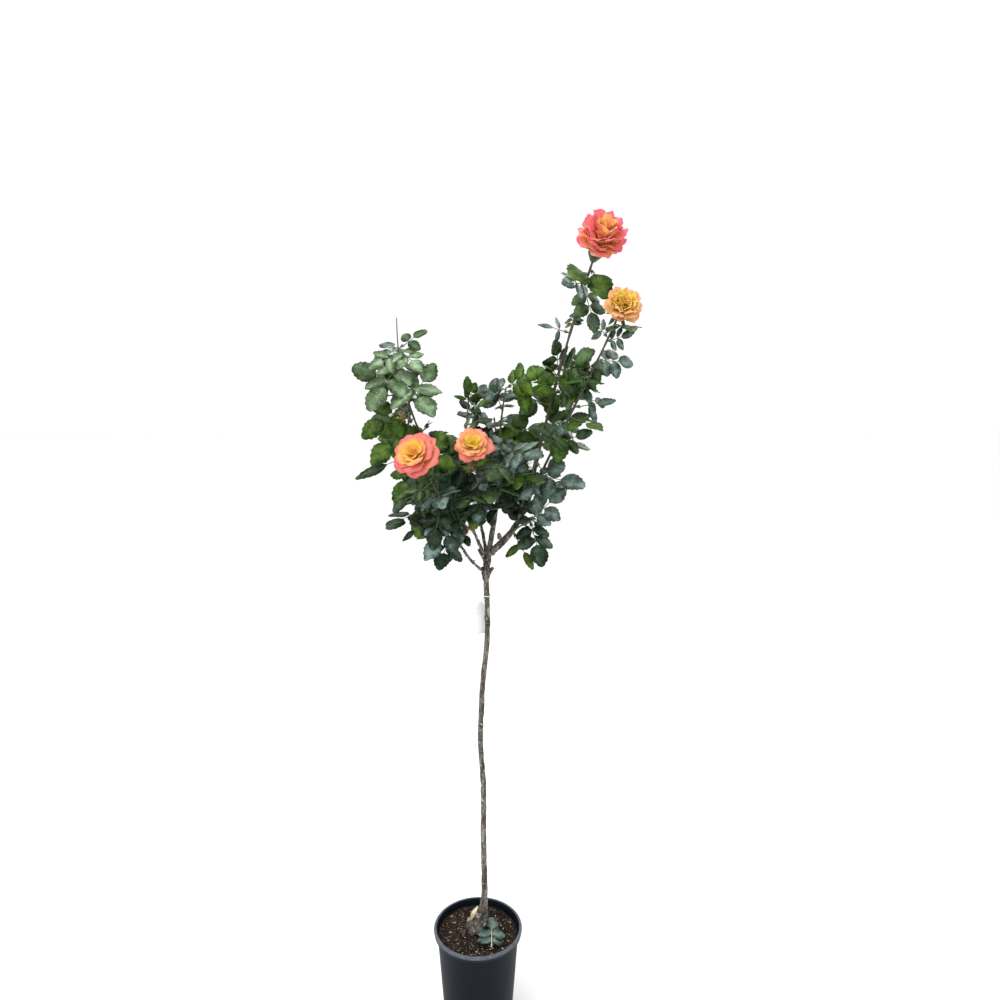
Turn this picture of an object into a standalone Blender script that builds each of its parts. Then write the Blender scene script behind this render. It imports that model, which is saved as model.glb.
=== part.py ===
# A standard rose in its nursery pot: one bare stem, grafted at head height, that carries
# five boughs, sixteen leafy shoots and four open blooms. Metres, +Z up, and +X to the right
# as seen from the front. The origin is the middle of the pot's underside.

import math
import random

import bmesh
import bpy
from mathutils import Matrix, Vector
from mathutils.bvhtree import BVHTree

# Driving sizes
POT_HEIGHT = 0.249
RIM_RADIUS = 0.105
RIM_DEPTH = 0.014
WALL_TOP_RADIUS = 0.0965
WALL_FOOT_RADIUS = 0.0800
WALL = 0.0022
FLOOR = 0.0035
DRAIN_HOLES = 6
DRAIN_RADIUS = 0.0055
SOIL_LEVEL = 0.229
CLEAR = 0.0003  # gap between pieces that touch on the real plant

STEM_FOOT = Vector((-0.006, 0.011))  # where the stem leaves the soil
STEM_RADIUS = 0.0060
ROOT_RADIUS = 0.0180
# Sideways sway of the stem, as (height above the floor, x, y)
STEM_SWAY = (
    (0.250, 0.000, 0.011),
    (0.285, 0.012, 0.011),
    (0.330, 0.016, 0.010),
    (0.470, 0.014, 0.009),
    (0.615, 0.014, 0.007),
    (0.705, 0.008, 0.006),
    (0.790, 0.010, 0.004),
    (0.880, 0.015, 0.002),
    (0.965, 0.024, 0.001),
    (1.060, 0.024, 0.000),
    (1.119, 0.022, 0.000),
    (1.160, 0.026, 0.002),
)
STEM_NODES = (0.430, 0.560, 0.690, 0.742, 0.868, 0.925)  # heights of the old bud scars
GRAFT_HEIGHT, GRAFT_RADIUS = 1.119, 0.0105
HEAD_HEIGHT, HEAD_RADIUS = 1.152, 0.0095

TAG_WIDTH, TAG_LENGTH, TAG_THICK = 0.021, 0.074, 0.0010
TAG_BAND_HEIGHT = 1.068  # where its band goes round the stem
TAG_BAND_SHIFT = 0.0009  # how far the band hangs off the stem's middle, so that it rests on it
TAG_PLACE = Vector((0.010, 0.013, 1.012))  # the plate's middle

LEAF = 0.112  # a whole leaf of five leaflets
LEAFLET_SHARE = 0.46  # its end leaflet, as a share of the leaf
LEAFLET_WIDTH = 0.72  # width over length
LEAF_THICK = 0.0012
RACHIS_RADIUS = 0.0014
TWIG_RADIUS = 0.0018
TWIG_SHARE = 0.34  # a side twig's length, as a share of its shoot's
LEAF_FACE, REACH_FACE = 0.65, 1.5  # how far leaves turn to the light, which falls from the front
TURN_STEP = 137.5  # degrees round the stem from leaf to leaf
TRIES = (0, 24, -24, 48, -48, 80, -80)  # turns tried in order for a leaf that is in the way
THREE_SHARE = 0.48  # the share of leaves with three leaflets instead of five
HIP_LENGTH = 0.020
HIP_RADIUS = 0.0068
HIP_FOOT = 0.5  # a calyx's foot, as a share of its top

# Limbs, each by what it grows from, how far along that, its compass heading (0 is +X and
# 90 is away from the front) and rise in degrees at its two ends, its length and its radii.
BOUGHS = {
    "bough_right": dict(at=1.155, heading=(8, 18), rise=(35, 73), length=0.164, radius=(0.0080, 0.0054)),
    "bough_centre": dict(at=1.158, heading=(60, 52), rise=(66, 78), length=0.118, radius=(0.0064, 0.0044)),
    "bough_back": dict(at=1.150, heading=(99, 112), rise=(40, 60), length=0.131, radius=(0.0044, 0.0032)),
    "bough_left_up": dict(at=1.146, heading=(164, 162), rise=(61, 76), length=0.153, radius=(0.0036, 0.0028)),
    "bough_left_low": dict(at=1.119, heading=(204, 232), rise=(36, 73), length=0.145, radius=(0.0036, 0.0028)),
}

# Leafy shoots. "span" is where along the stem its first and last leaf stand, "turn" the
# first leaf's angle round the stem, and each reach is a leaf of its own: how far up,
# heading, rise and size.
SHOOTS = {
    "shoot_tall": dict(
        bough="bough_right", at=1.0, heading=(12, -13), rise=(79, 72), length=0.506, radius=(0.0034, 0.0020),
        leaves=5, twigs=0, span=(0.30, 0.66), turn=50, seed=11,
        reach=(
            (0.91, 235, 5, 0.095), (0.90, -10, 0, 0.095), (0.89, -55, -60, 0.105), (0.75, 155, 10, 0.080),
            (0.50, -45, 45, 0.125), (0.60, 180, -60, 0.140), (0.87, -30, -30, 0.125),
        ),
    ),
    "shoot_outer": dict(
        bough="bough_right", at=0.80, heading=(-37, 21), rise=(64, 64), length=0.450, radius=(0.0030, 0.0018),
        leaves=3, twigs=0, span=(0.34, 0.66), turn=340, seed=12,
        reach=(
            (0.95, 170, 20, 0.115), (0.97, -75, 10, 0.100), (0.79, 25, 8, 0.095), (0.78, 180, -20, 0.095),
            (0.60, 45, 20, 0.085),
        ),
    ),
    "shoot_right_mid": dict(
        bough="bough_right", at=0.92, heading=(74, -27), rise=(69, 77), length=0.288, radius=(0.0028, 0.0016),
        leaves=6, twigs=0, span=(0.36, 0.96), turn=200, seed=13, reach=((1.0, -100, 60, 0.095), (0.60, 180, 0, 0.130)),
    ),
    "shoot_right_side": dict(
        bough="bough_right", at=0.60, heading=(-85, -10), rise=(52, 80), length=0.185, radius=(0.0026, 0.0016),
        leaves=4, twigs=0, span=(0.30, 0.90), turn=210, seed=14,
        reach=((0.98, 15, 50, 0.110), (0.7, -70, -60, 0.095), (0.50, 240, -30, 0.140), (0.85, 45, -30, 0.130)),
    ),
    "shoot_low_right": dict(
        bough="bough_right", at=0.40, heading=(-50, -44), rise=(37, 26), length=0.080, radius=(0.0022, 0.0014),
        leaves=2, twigs=0, span=(0.40, 0.95), turn=260, seed=15,
        reach=((0.35, -70, -65, 0.090), (0.9, 30, 65, 0.110)),
    ),
    "shoot_centre_top": dict(
        bough="bough_centre", at=1.0, heading=(-37, -37), rise=(91, 78), length=0.250, radius=(0.0028, 0.0014),
        leaves=3, twigs=0, span=(0.20, 0.80), turn=300, seed=16,
        reach=((0.97, 0, 10, 0.110), (0.99, 145, 10, 0.090), (1.0, -40, 35, 0.100)),
    ),
    "shoot_core": dict(
        bough="bough_centre", at=0.70, heading=(-87, -61), rise=(39, 78), length=0.197, radius=(0.0026, 0.0014),
        leaves=7, twigs=0, span=(0.22, 0.98), turn=0, seed=17, reach=(),
    ),
    "shoot_mid_bloom": dict(
        bough="bough_centre", at=0.50, heading=(-102, -118), rise=(36, 78), length=0.215, radius=(0.0028, 0.0020),
        leaves=6, twigs=0, span=(0.26, 0.84), turn=30, seed=18, reach=(),
    ),
    "shoot_mid_twig": dict(
        bough="bough_left_up", at=1.0, heading=(-47, -59), rise=(86, 80), length=0.212, radius=(0.0026, 0.0013),
        leaves=3, twigs=0, span=(0.12, 0.80), turn=160, seed=19,
        reach=((0.96, -70, 45, 0.065), (0.90, 45, -10, 0.075)),
    ),
    "shoot_left_spray": dict(
        bough="bough_left_up", at=0.80, heading=(161, 233), rise=(50, 90), length=0.440, radius=(0.0028, 0.0011),
        leaves=3, twigs=0, span=(0.40, 0.80), turn=70, seed=20,
        reach=(
            (0.72, -55, -20, 0.145), (0.76, 235, -20, 0.125), (0.60, 210, -25, 0.130), (0.47, 155, 15, 0.130),
            (0.34, 235, -30, 0.155), (0.25, 245, -50, 0.165), (0.86, -45, -10, 0.090), (0.84, 225, -5, 0.085),
            (0.80, 255, -15, 0.140), (0.66, 195, 50, 0.125), (0.52, 225, -15, 0.140),
        ),
    ),
    "shoot_left_bloom": dict(
        bough="bough_left_low", at=1.0, heading=(-111, -142), rise=(50, 62), length=0.170, radius=(0.0024, 0.0020),
        leaves=4, twigs=0, span=(0.25, 0.80), turn=230, seed=21,
        reach=((0.45, 240, -60, 0.105), (0.30, -30, -45, 0.140)),
    ),
    "shoot_low_left": dict(
        bough="bough_left_low", at=0.60, heading=(175, 182), rise=(39, 54), length=0.125, radius=(0.0022, 0.0013),
        leaves=3, twigs=0, span=(0.20, 0.98), turn=290, seed=22,
        reach=((0.36, 320, -10, 0.095), (0.30, 270, 0, 0.105)),
    ),
    "shoot_low_front": dict(
        bough="bough_left_up", at=0.45, heading=(-95, -150), rise=(20, 45), length=0.110, radius=(0.0020, 0.0013),
        leaves=4, twigs=0, span=(0.30, 0.98), turn=230, seed=26, reach=(),
    ),
    "shoot_back_left": dict(
        bough="bough_back", at=0.80, heading=(138, 161), rise=(34, 72), length=0.219, radius=(0.0026, 0.0014),
        leaves=6, twigs=0, span=(0.22, 0.98), turn=240, seed=23, reach=(),
    ),
    "shoot_back_right": dict(
        bough="bough_back", at=1.0, heading=(63, 4), rise=(45, 61), length=0.215, radius=(0.0026, 0.0014),
        leaves=3, twigs=1, span=(0.22, 0.98), turn=90, seed=24, reach=(),
    ),
    "shoot_back_top": dict(
        bough="bough_centre", at=0.85, heading=(64, 141), rise=(54, 85), length=0.213, radius=(0.0026, 0.0014),
        leaves=5, twigs=0, span=(0.24, 0.98), turn=330, seed=25, reach=(),
    ),
}
LIMB_STEPS = 8

# Blooms, each on the tip of its shoot: radius, the heading and rise that it faces, and the
# radius of the calyx under it
BLOOMS = {
    "bloom_top": dict(shoot="shoot_tall", radius=0.054, heading=-60, rise=58, seed=31, calyx=0.0160),
    "bloom_yellow": dict(shoot="shoot_outer", radius=0.043, heading=-80, rise=35, seed=32, calyx=0.0080),
    "bloom_left": dict(shoot="shoot_left_bloom", radius=0.046, heading=-112, rise=35, seed=33, calyx=0.0080),
    "bloom_mid": dict(shoot="shoot_mid_bloom", radius=0.038, heading=-92, rise=38, seed=34, calyx=0.0095),
}
# Whorls of petals from the outside in: how many, how far out and up the petal's middle
# stands, its half length and half width, as shares of the bloom's radius, and its tilt
PETAL_WHORLS = (
    (5, 0.66, 0.62, 0.52, 0.60, 32),
    (3, 0.36, 1.06, 0.52, 0.60, 62),
)

FALLEN_LEAF = dict(foot=(0.033, -0.064), heading=90, size=0.095)  # lies on the soil

COLOURS = {
    "bark": ((0.23, 0.19, 0.15, 1), 0.85),
    "leaf": ((0.06, 0.16, 0.08, 1), 0.5),
    "petal": ((0.90, 0.32, 0.22, 1), 0.55),
    "pot": ((0.03, 0.035, 0.042, 1), 0.5),
    "soil": ((0.08, 0.05, 0.035, 1), 0.95),
    "tag": ((0.82, 0.83, 0.90, 1), 0.5),
}


def clear_scene():
    for obj in list(bpy.data.objects):
        bpy.data.objects.remove(obj)


def collection(name):
    made = bpy.data.collections.new(name)
    bpy.context.scene.collection.children.link(made)
    return made


def empty(group):
    for obj in list(group.objects):
        bpy.data.objects.remove(obj)
    bpy.data.collections.remove(group)


def material(name):
    made = bpy.data.materials.get(name)
    if made is None:
        colour, roughness = COLOURS[name]
        made = bpy.data.materials.new(name)
        made.use_nodes = True
        shader = made.node_tree.nodes["Principled BSDF"]
        shader.inputs["Base Color"].default_value = colour
        shader.inputs["Roughness"].default_value = roughness
        shader.inputs["Metallic"].default_value = 0.0
    return made


def mesh_object(name, bm, home, look=None):
    """One object from a bmesh, which is freed."""
    mesh = bpy.data.meshes.new(name)
    bm.to_mesh(mesh)
    bm.free()
    obj = bpy.data.objects.new(name, mesh)
    home.objects.link(obj)
    if look:
        obj.data.materials.append(material(look))
    return obj


def settle(obj):
    """Puts the object's modifiers into its mesh."""
    bpy.context.view_layer.update()
    graph = bpy.context.evaluated_depsgraph_get()
    mesh = bpy.data.meshes.new_from_object(obj.evaluated_get(graph))
    obj.modifiers.clear()
    obj.data = mesh


def boolean(obj, operation, operand, solver="EXACT"):
    """Joins or cuts the object with another, or with all of a collection."""
    step = obj.modifiers.new(operation.lower(), "BOOLEAN")
    step.operation = operation
    step.solver = solver
    if isinstance(operand, bpy.types.Collection):
        step.operand_type = "COLLECTION"
        step.collection = operand
    else:
        step.object = operand
    settle(obj)


def keep_largest(obj):
    """Drops the scraps and the sealed hollows that a cut or a join left beside the body."""
    bm = bmesh.new()
    bm.from_mesh(obj.data)
    left = set(bm.verts)
    bodies = []
    while left:
        body, edge = set(), [left.pop()]
        while edge:
            vert = edge.pop()
            body.add(vert)
            near = [link.other_vert(vert) for link in vert.link_edges]
            edge.extend(other for other in near if other in left)
            left.difference_update(near)
        bodies.append(body)
    bodies.sort(key=len)
    scraps = [vert for body in bodies[:-1] for vert in body]
    bmesh.ops.delete(bm, geom=scraps, context="VERTS")
    bm.to_mesh(obj.data)
    bm.free()


def helper(obj):
    obj.hide_render = True
    obj.display_type = "WIRE"
    return obj


def smooth_line(points, per_span):
    """A Catmull-Rom curve through the points."""
    ends = [points[0] * 2 - points[1], *points, points[-1] * 2 - points[-2]]
    line = []
    for a, b, c, d in zip(ends, ends[1:], ends[2:], ends[3:]):
        for step in range(per_span):
            t = step / per_span
            line.append(
                0.5 * (2 * b + (c - a) * t + (2 * a - 5 * b + 4 * c - d) * t**2 + (3 * b - a - 3 * c + d) * t**3)
            )
    return [*line, points[-1]]


def along(line, share):
    """The point at a share of the line's steps."""
    place = share * (len(line) - 1)
    step = min(int(place), len(line) - 2)
    return line[step].lerp(line[step + 1], place - step)


def direction(line, share):
    step = min(int(share * (len(line) - 1)), len(line) - 2)
    return (line[step + 1] - line[step]).normalized()


def compass(heading, rise):
    h, r = math.radians(heading), math.radians(rise)
    return Vector((math.cos(h) * math.cos(r), math.sin(h) * math.cos(r), math.sin(r)))


def limb_line(start, heading, rise, length, steps=LIMB_STEPS):
    """A limb's centre line, which turns evenly from its first heading and rise to its last."""
    line = [start.copy()]
    for step in range(steps):
        share = (step + 0.5) / steps
        way = compass(
            heading[0] + (heading[1] - heading[0]) * share, rise[0] + (rise[1] - rise[0]) * share
        )
        line.append(line[-1] + way * length / steps)
    return line


def tube(name, line, radii, home, look, resolution=2):
    """A closed tube along the line, with a radius for each point, as a mesh."""
    curve = bpy.data.curves.new(name, "CURVE")
    curve.dimensions = "3D"
    curve.bevel_depth = 1.0
    curve.bevel_resolution = resolution
    curve.use_fill_caps = True
    spline = curve.splines.new("POLY")
    spline.points.add(len(line) - 1)
    for point, place, radius in zip(spline.points, line, radii):
        point.co = (*place, 1.0)
        point.radius = radius
    rod = bpy.data.objects.new(name + "_curve", curve)
    home.objects.link(rod)
    bpy.context.view_layer.update()
    graph = bpy.context.evaluated_depsgraph_get()
    mesh = bpy.data.meshes.new_from_object(rod.evaluated_get(graph))
    bpy.data.objects.remove(rod)
    bm = bmesh.new()
    bm.from_mesh(mesh)
    bmesh.ops.remove_doubles(bm, verts=bm.verts, dist=1e-6)
    obj = mesh_object(name, bm, home, look)
    obj.data.shade_smooth()
    obj.data.set_sharp_from_angle(angle=math.radians(45))
    return obj


def taper(first, last, count):
    return [first + (last - first) * step / (count - 1) for step in range(count)]


def facing(place, way):
    """The matrix that stands local +Z along a way, at a place."""
    return Matrix.Translation(place) @ way.to_track_quat("Z", "Y").to_matrix().to_4x4()


def turned(name, profile, steps, home, look):
    """A turned shape from (radius, height) points that run down its outer side."""
    bm = bmesh.new()
    spots = [bm.verts.new((radius, 0, height)) for radius, height in profile]
    for a, b in zip(spots, spots[1:]):
        bm.edges.new((a, b))
    obj = mesh_object(name, bm, home, look)
    screw = obj.modifiers.new("turn", "SCREW")
    screw.steps = screw.render_steps = steps
    screw.use_merge_vertices = True
    screw.merge_threshold = 0.0001
    settle(obj)
    return obj


def wall_radius(height):
    """The pot wall's outer radius at a height."""
    return WALL_FOOT_RADIUS + (WALL_TOP_RADIUS - WALL_FOOT_RADIUS) * height / (POT_HEIGHT - RIM_DEPTH)


def build_pot(home, cutters):
    under_rim = POT_HEIGHT - RIM_DEPTH
    lip = RIM_RADIUS - WALL_TOP_RADIUS
    profile = [
        (WALL_TOP_RADIUS + lip * 0.25, POT_HEIGHT),
        (RIM_RADIUS - lip * 0.2, POT_HEIGHT - 0.0012),
        (RIM_RADIUS, POT_HEIGHT - 0.004),
        (RIM_RADIUS - 0.002, under_rim),
        (WALL_TOP_RADIUS, under_rim - 0.001),
        (WALL_FOOT_RADIUS + 0.0006, 0.006),
        (WALL_FOOT_RADIUS - 0.003, 0.0),
        (0.0, 0.0),
        (0.0, FLOOR),
        (wall_radius(FLOOR) - WALL, FLOOR),
        (wall_radius(under_rim) - WALL, under_rim),
        (WALL_TOP_RADIUS + lip * 0.25, POT_HEIGHT),
    ]
    pot = turned("pot", profile, 28, home, "pot")
    for hole in range(DRAIN_HOLES):
        way = compass(hole * 360 / DRAIN_HOLES + 15, 0) * WALL_FOOT_RADIUS * 0.66
        bm = bmesh.new()
        bmesh.ops.create_cone(
            bm, cap_ends=True, segments=8, radius1=DRAIN_RADIUS, radius2=DRAIN_RADIUS,
            depth=FLOOR * 4, matrix=Matrix.Translation(way),
        )
        helper(mesh_object(f"drain_cutter_{hole}", bm, cutters))
    boolean(pot, "DIFFERENCE", cutters)


def build_soil(home):
    foot, top = FLOOR + CLEAR, SOIL_LEVEL
    profile = [
        (0.0, top),
        (wall_radius(top) - WALL - CLEAR * 2, top - 0.0002),
        (wall_radius(foot) - WALL - CLEAR * 2, foot),
        (0.0, foot),
    ]
    turned("soil", profile, 28, home, "soil")


def stem_line():
    foot = Vector((*STEM_FOOT, SOIL_LEVEL + CLEAR))
    sway = [Vector((x, y, height)) for height, x, y in STEM_SWAY]
    return [foot, *smooth_line([foot + Vector((0, 0, 0.012)), *sway], 3)]


def stem_radius(height):
    """The stem's radius: root flare, slow taper, bud scars, graft and head."""
    above = height - SOIL_LEVEL
    flare = (ROOT_RADIUS - STEM_RADIUS) * math.exp(-((max(above - 0.018, 0) / 0.042) ** 2))
    radius = STEM_RADIUS + 0.0012 * max(0, 1 - above / 0.5) + flare
    for scar in STEM_NODES:
        radius += 0.0011 * math.exp(-(((height - scar) / 0.006) ** 2))
    radius += (GRAFT_RADIUS - STEM_RADIUS) * math.exp(-(((height - GRAFT_HEIGHT) / 0.010) ** 2))
    radius += (HEAD_RADIUS - STEM_RADIUS) * math.exp(-(((height - HEAD_HEIGHT) / 0.014) ** 2))
    return radius


def build_trunk(home, cutters):
    """The stem from the soil to its head, with the pruned stub at its foot, and its clearance."""
    line = stem_line()
    top = line[-1]
    solids = []
    for name, grow in (("trunk", 0.0), ("trunk_clearance", CLEAR)):
        place = home if not grow else cutters
        radii = [stem_radius(point.z) + grow for point in line]
        path = [*line[:-1], top + (top - line[-2]).normalized() * grow]
        solids.append(tube(name, path, radii, place, "bark", 2))
    stub = tube(
        "stub", [Vector((0.006, 0.011, 0.258)), Vector((-0.001, 0.009, 0.275)), Vector((-0.006, 0.007, 0.289))],
        [0.0085, 0.0076, 0.0066], home, "bark", 2,
    )
    boolean(solids[0], "UNION", stub)
    bpy.data.objects.remove(stub)
    helper(solids[1])
    return line


def build_tag(home, trunk_line):
    """A blank plate that hangs behind the stem from a band round it."""
    pieces = collection("tag_pieces")
    middle = min(trunk_line, key=lambda point: abs(point.z - TAG_BAND_HEIGHT))
    inner = stem_radius(TAG_BAND_HEIGHT) + CLEAR * 5
    half = 0.0020
    profile = [
        (inner, half), (inner + 0.0010, half), (inner + 0.0010, -half), (inner, -half), (inner, half),
    ]
    band = turned("tag", profile, 16, home, "tag")
    band.data.transform(Matrix.Translation((middle.x, middle.y - TAG_BAND_SHIFT, TAG_BAND_HEIGHT)))
    top = TAG_PLACE + Vector((0, 0, TAG_LENGTH / 2))
    catch = Vector((middle.x - 0.004, middle.y + inner + 0.0003, TAG_BAND_HEIGHT))
    strip = (top - catch).normalized()
    bm = bmesh.new()
    bmesh.ops.create_cube(
        bm, size=1, matrix=facing((top + catch) / 2, strip)
        @ Matrix.Diagonal((0.005, 0.0012, (top - catch).length + 0.006, 1)),
    )
    mesh_object("strip", bm, pieces)
    bm = bmesh.new()
    bmesh.ops.create_cube(
        bm, size=1, matrix=Matrix.Translation(TAG_PLACE) @ Matrix.Rotation(math.radians(12), 4, "Z")
        @ Matrix.Diagonal((TAG_WIDTH, TAG_THICK, TAG_LENGTH, 1)),
    )
    mesh_object("plate", bm, pieces)
    boolean(band, "UNION", pieces)
    empty(pieces)


def build_boughs(home, cutters, trunk_line):
    """Each bough starts inside the stem's head and is cut clear of it and of the boughs before it."""
    lines = {}
    for name, bough in BOUGHS.items():
        start = min(trunk_line, key=lambda point: abs(point.z - bough["at"]))
        line = limb_line(start, bough["heading"], bough["rise"], bough["length"])
        radii = taper(*bough["radius"], len(line))
        limb = tube(name, line, radii, home, "bark", 2)
        boolean(limb, "DIFFERENCE", cutters)
        longer = [*line[:-1], line[-1] + direction(line, 1.0) * CLEAR]
        helper(tube(name + "_clearance", longer, [r + CLEAR for r in radii], cutters, "bark", 2))
        lines[name] = line
    return lines


def blade(bm, root, way, normal, length, width, thick, segments=4, cup=0.12):
    """A leaf-shaped solid: a flat sphere, widest below its middle and folded along its rib."""
    made = bmesh.ops.create_uvsphere(bm, u_segments=segments, v_segments=2, radius=1)["verts"]
    for vert in made:
        if abs(vert.co.z) > 0.5:
            vert.co.x = -0.30 * length / 2
            vert.co.z = vert.co.z * thick / 2 - cup * width / 2
        else:
            vert.co.x = (vert.co.x - 0.16 * abs(vert.co.y)) * length / 2
            vert.co.y *= width / 2
    normal = (normal - way * normal.dot(way)).normalized()
    frame = Matrix((way, normal.cross(way), normal)).transposed().to_4x4()
    bmesh.ops.transform(bm, matrix=Matrix.Translation(root + way * length / 2) @ frame, verts=made)


def build_bloom(name, bloom, base, axis, home):
    """A bloom from its receptacle up: a core, and whorls of petals fused to it."""
    rng = random.Random(bloom["seed"])
    radius = bloom["radius"]
    petals = collection("petals")
    frame = facing(base, axis)
    bm = bmesh.new()
    bmesh.ops.create_cone(
        bm, cap_ends=True, segments=6, radius1=HIP_RADIUS, radius2=radius * 0.42,
        depth=radius * 0.5, matrix=frame @ Matrix.Translation((0, 0, radius * 0.25)),
    )
    solid = mesh_object(name, bm, home, "petal")
    bm = bmesh.new()
    bmesh.ops.create_icosphere(
        bm, subdivisions=1, radius=radius * 0.56, matrix=frame @ Matrix.Translation((0, 0, radius * 0.92))
    )
    mesh_object("core", bm, petals)
    for whorl, (count, out, up, half_length, half_width, tilt) in enumerate(PETAL_WHORLS):
        for petal in range(count):
            round_ = compass((petal + whorl * 0.5) * 360 / count + rng.uniform(-9, 9), 0)
            lean = math.radians(tilt + rng.uniform(-9, 9))
            way = round_ * math.cos(lean) + Vector((0, 0, math.sin(lean)))
            inward = Vector((0, 0, math.cos(lean))) - round_ * math.sin(lean)
            middle = round_ * out * radius + Vector((0, 0, up * radius))
            size = radius * rng.uniform(0.94, 1.06)
            bm = bmesh.new()
            blade(
                bm, middle - way * half_length * size, way, inward, half_length * 2 * size,
                half_width * 2 * size, radius * 0.16, segments=(6, 4)[whorl], cup=-0.20,
            )
            bmesh.ops.transform(bm, matrix=frame, verts=bm.verts)
            mesh_object(f"petal_{whorl}_{petal}", bm, petals)
    boolean(solid, "UNION", petals, "MANIFOLD")
    empty(petals)
    return solid


def tree_of(obj):
    bm = bmesh.new()
    bm.from_mesh(obj.data)
    tree = BVHTree.FromBMesh(bm)
    bm.free()
    return tree


def stands_clear(pieces, taken, exempt=None):
    """Whether none of the pieces meets anything taken, but for one owner's."""
    trees = [BVHTree.FromBMesh(bm) for bm in pieces]
    return not any(
        tree.overlap(other) for owner, other in taken if owner != exempt for tree in trees
    )


def round_stem(way, angle):
    """The direction square to a stem, at an angle round it."""
    flat = way.cross(Vector((0, 0, 1)))
    flat = flat.normalized() if flat.length > 1e-3 else Vector((1, 0, 0))
    turn = Matrix.Rotation(math.radians(angle), 3, way)
    return (turn @ flat).normalized()


def leaf_plan(rng, foot, out, size, face):
    """A compound leaf from its foot: a rachis, pairs of leaflets and one at its end."""
    over = (out + Vector((0, 0, -rng.uniform(0.10, 0.45)))).normalized()
    end = foot + over * size * (1 - LEAFLET_SHARE)
    outward = Vector((over.x, over.y, 0)).normalized()
    tilt = Vector((rng.uniform(-0.5, 0.5), rng.uniform(-0.5, 0.5) - face, 0.8)) + outward * rng.uniform(0, 0.8)
    normal = (tilt - over * tilt.dot(over)).normalized()
    side = over.cross(normal)
    longest = size * LEAFLET_SHARE
    droop = rng.uniform(0.1, 0.35)
    leaflets = [(end - over * 0.003, (over - normal * droop * 0.5).normalized(), normal, longest)]
    pairs = ((0.62, 0.94),) if rng.random() < THREE_SHARE else ((0.34, 0.78), (0.72, 0.88))
    for share, scale in pairs:
        root = foot.lerp(end, share)
        for hand in (-1, 1):
            spread = math.radians(rng.uniform(66, 82))
            way = over * math.cos(spread) + side * hand * math.sin(spread) - normal * droop
            tip = normal + side * hand * rng.uniform(0.05, 0.3)
            leaflets.append((root, way.normalized(), tip.normalized(), longest * scale))
    return (foot, end, normal), leaflets


def rod(a, b, up, radius1, radius2):
    """A three-sided length of twig, with an edge beside its top."""
    way = (b - a).normalized()
    top = Matrix.Rotation(0.4, 3, way) @ (up - way * up.dot(way)).normalized()
    frame = Matrix((top.cross(way), top, way)).transposed().to_4x4()
    bm = bmesh.new()
    bmesh.ops.create_cone(
        bm, cap_ends=True, segments=3, radius1=radius1, radius2=radius2,
        depth=(b - a).length, matrix=Matrix.Translation((a + b) / 2) @ frame,
    )
    return bm


def leaf_pieces(plan):
    """A leaf's closed pieces: its rachis, and its five leaflets."""
    (foot, end, normal), leaflets = plan
    blades = []
    for root, way, normal, length in leaflets:
        bm = bmesh.new()
        blade(bm, root, way, normal, length, length * LEAFLET_WIDTH, LEAF_THICK)
        blades.append(bm)
    return rod(foot, end, normal, RACHIS_RADIUS, RACHIS_RADIUS * 0.8), blades


def stem_leaves(seed, line, count, span, turn):
    """The places of the leaves of a stem: for each, its random seed, foot, stem way and angle."""
    for leaf in range(count):
        share = span[0] + (span[1] - span[0]) * leaf / max(1, count - 1)
        yield seed * 100 + leaf, along(line, share), direction(line, share), turn + leaf * TURN_STEP


def add_leaf(name, plans, loose, taken):
    """Adds the first of a leaf's plans that stands clear of everything else."""
    for plan in plans:
        rachis, blades = leaf_pieces(plan)
        if stands_clear([rachis], taken, name) and stands_clear(blades, taken):
            for bm in (rachis, *blades):
                taken.append((name if bm is rachis else name + "_leaf", BVHTree.FromBMesh(bm)))
                mesh_object("piece", bm, loose)
            return 1
        for bm in (rachis, *blades):
            bm.free()
    return 0


def leaf_tries(seed, foot, way, angle):
    for count, shift in enumerate(TRIES):
        rng = random.Random(seed * 10 + count)
        lift = math.radians(rng.uniform(48, 68))
        out = way * math.cos(lift) + round_stem(way, angle + shift) * math.sin(lift)
        yield leaf_plan(rng, foot, out, LEAF * rng.uniform(0.88, 1.10), LEAF_FACE)


def reach_tries(seed, foot, heading, rise, size):
    for count, shift in enumerate(TRIES[:5]):
        rng = random.Random(seed * 10 + count)
        yield leaf_plan(rng, foot, compass(heading + shift * 0.4, rise + shift * 0.25), size, REACH_FACE)


def add_twig(name, rng, line, share, angle, length, loose, taken):
    """A curved side twig of two lengths, with a leaf on its bend and two at its tip."""
    way = direction(line, share)
    out = (way * 0.75 + round_stem(way, angle)).normalized()
    foot = along(line, share)
    bend = foot + out * length * 0.5
    tip = bend + (out + Vector((0, 0, 0.35))).normalized() * length * 0.5
    top = Vector((0, 0, 1))
    lower = rod(foot, bend + out * 0.001, top, TWIG_RADIUS, TWIG_RADIUS * 0.85)
    upper = rod(bend, tip, top, TWIG_RADIUS * 0.85, TWIG_RADIUS * 0.7)
    if not stands_clear([lower, upper], taken, name):
        return 0
    for bm in (lower, upper):
        taken.append((name, BVHTree.FromBMesh(bm)))
        mesh_object("twig", bm, loose)
    grown = 0
    for count, (place, turn) in enumerate(((bend, 90), (tip, 200), (tip, 20))):
        seed = int(rng.uniform(1000, 9000)) + count
        ahead = (tip - bend).normalized()
        grown += add_leaf(name, leaf_tries(seed, place - ahead * 0.001, ahead, angle + turn), loose, taken)
    return grown


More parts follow.
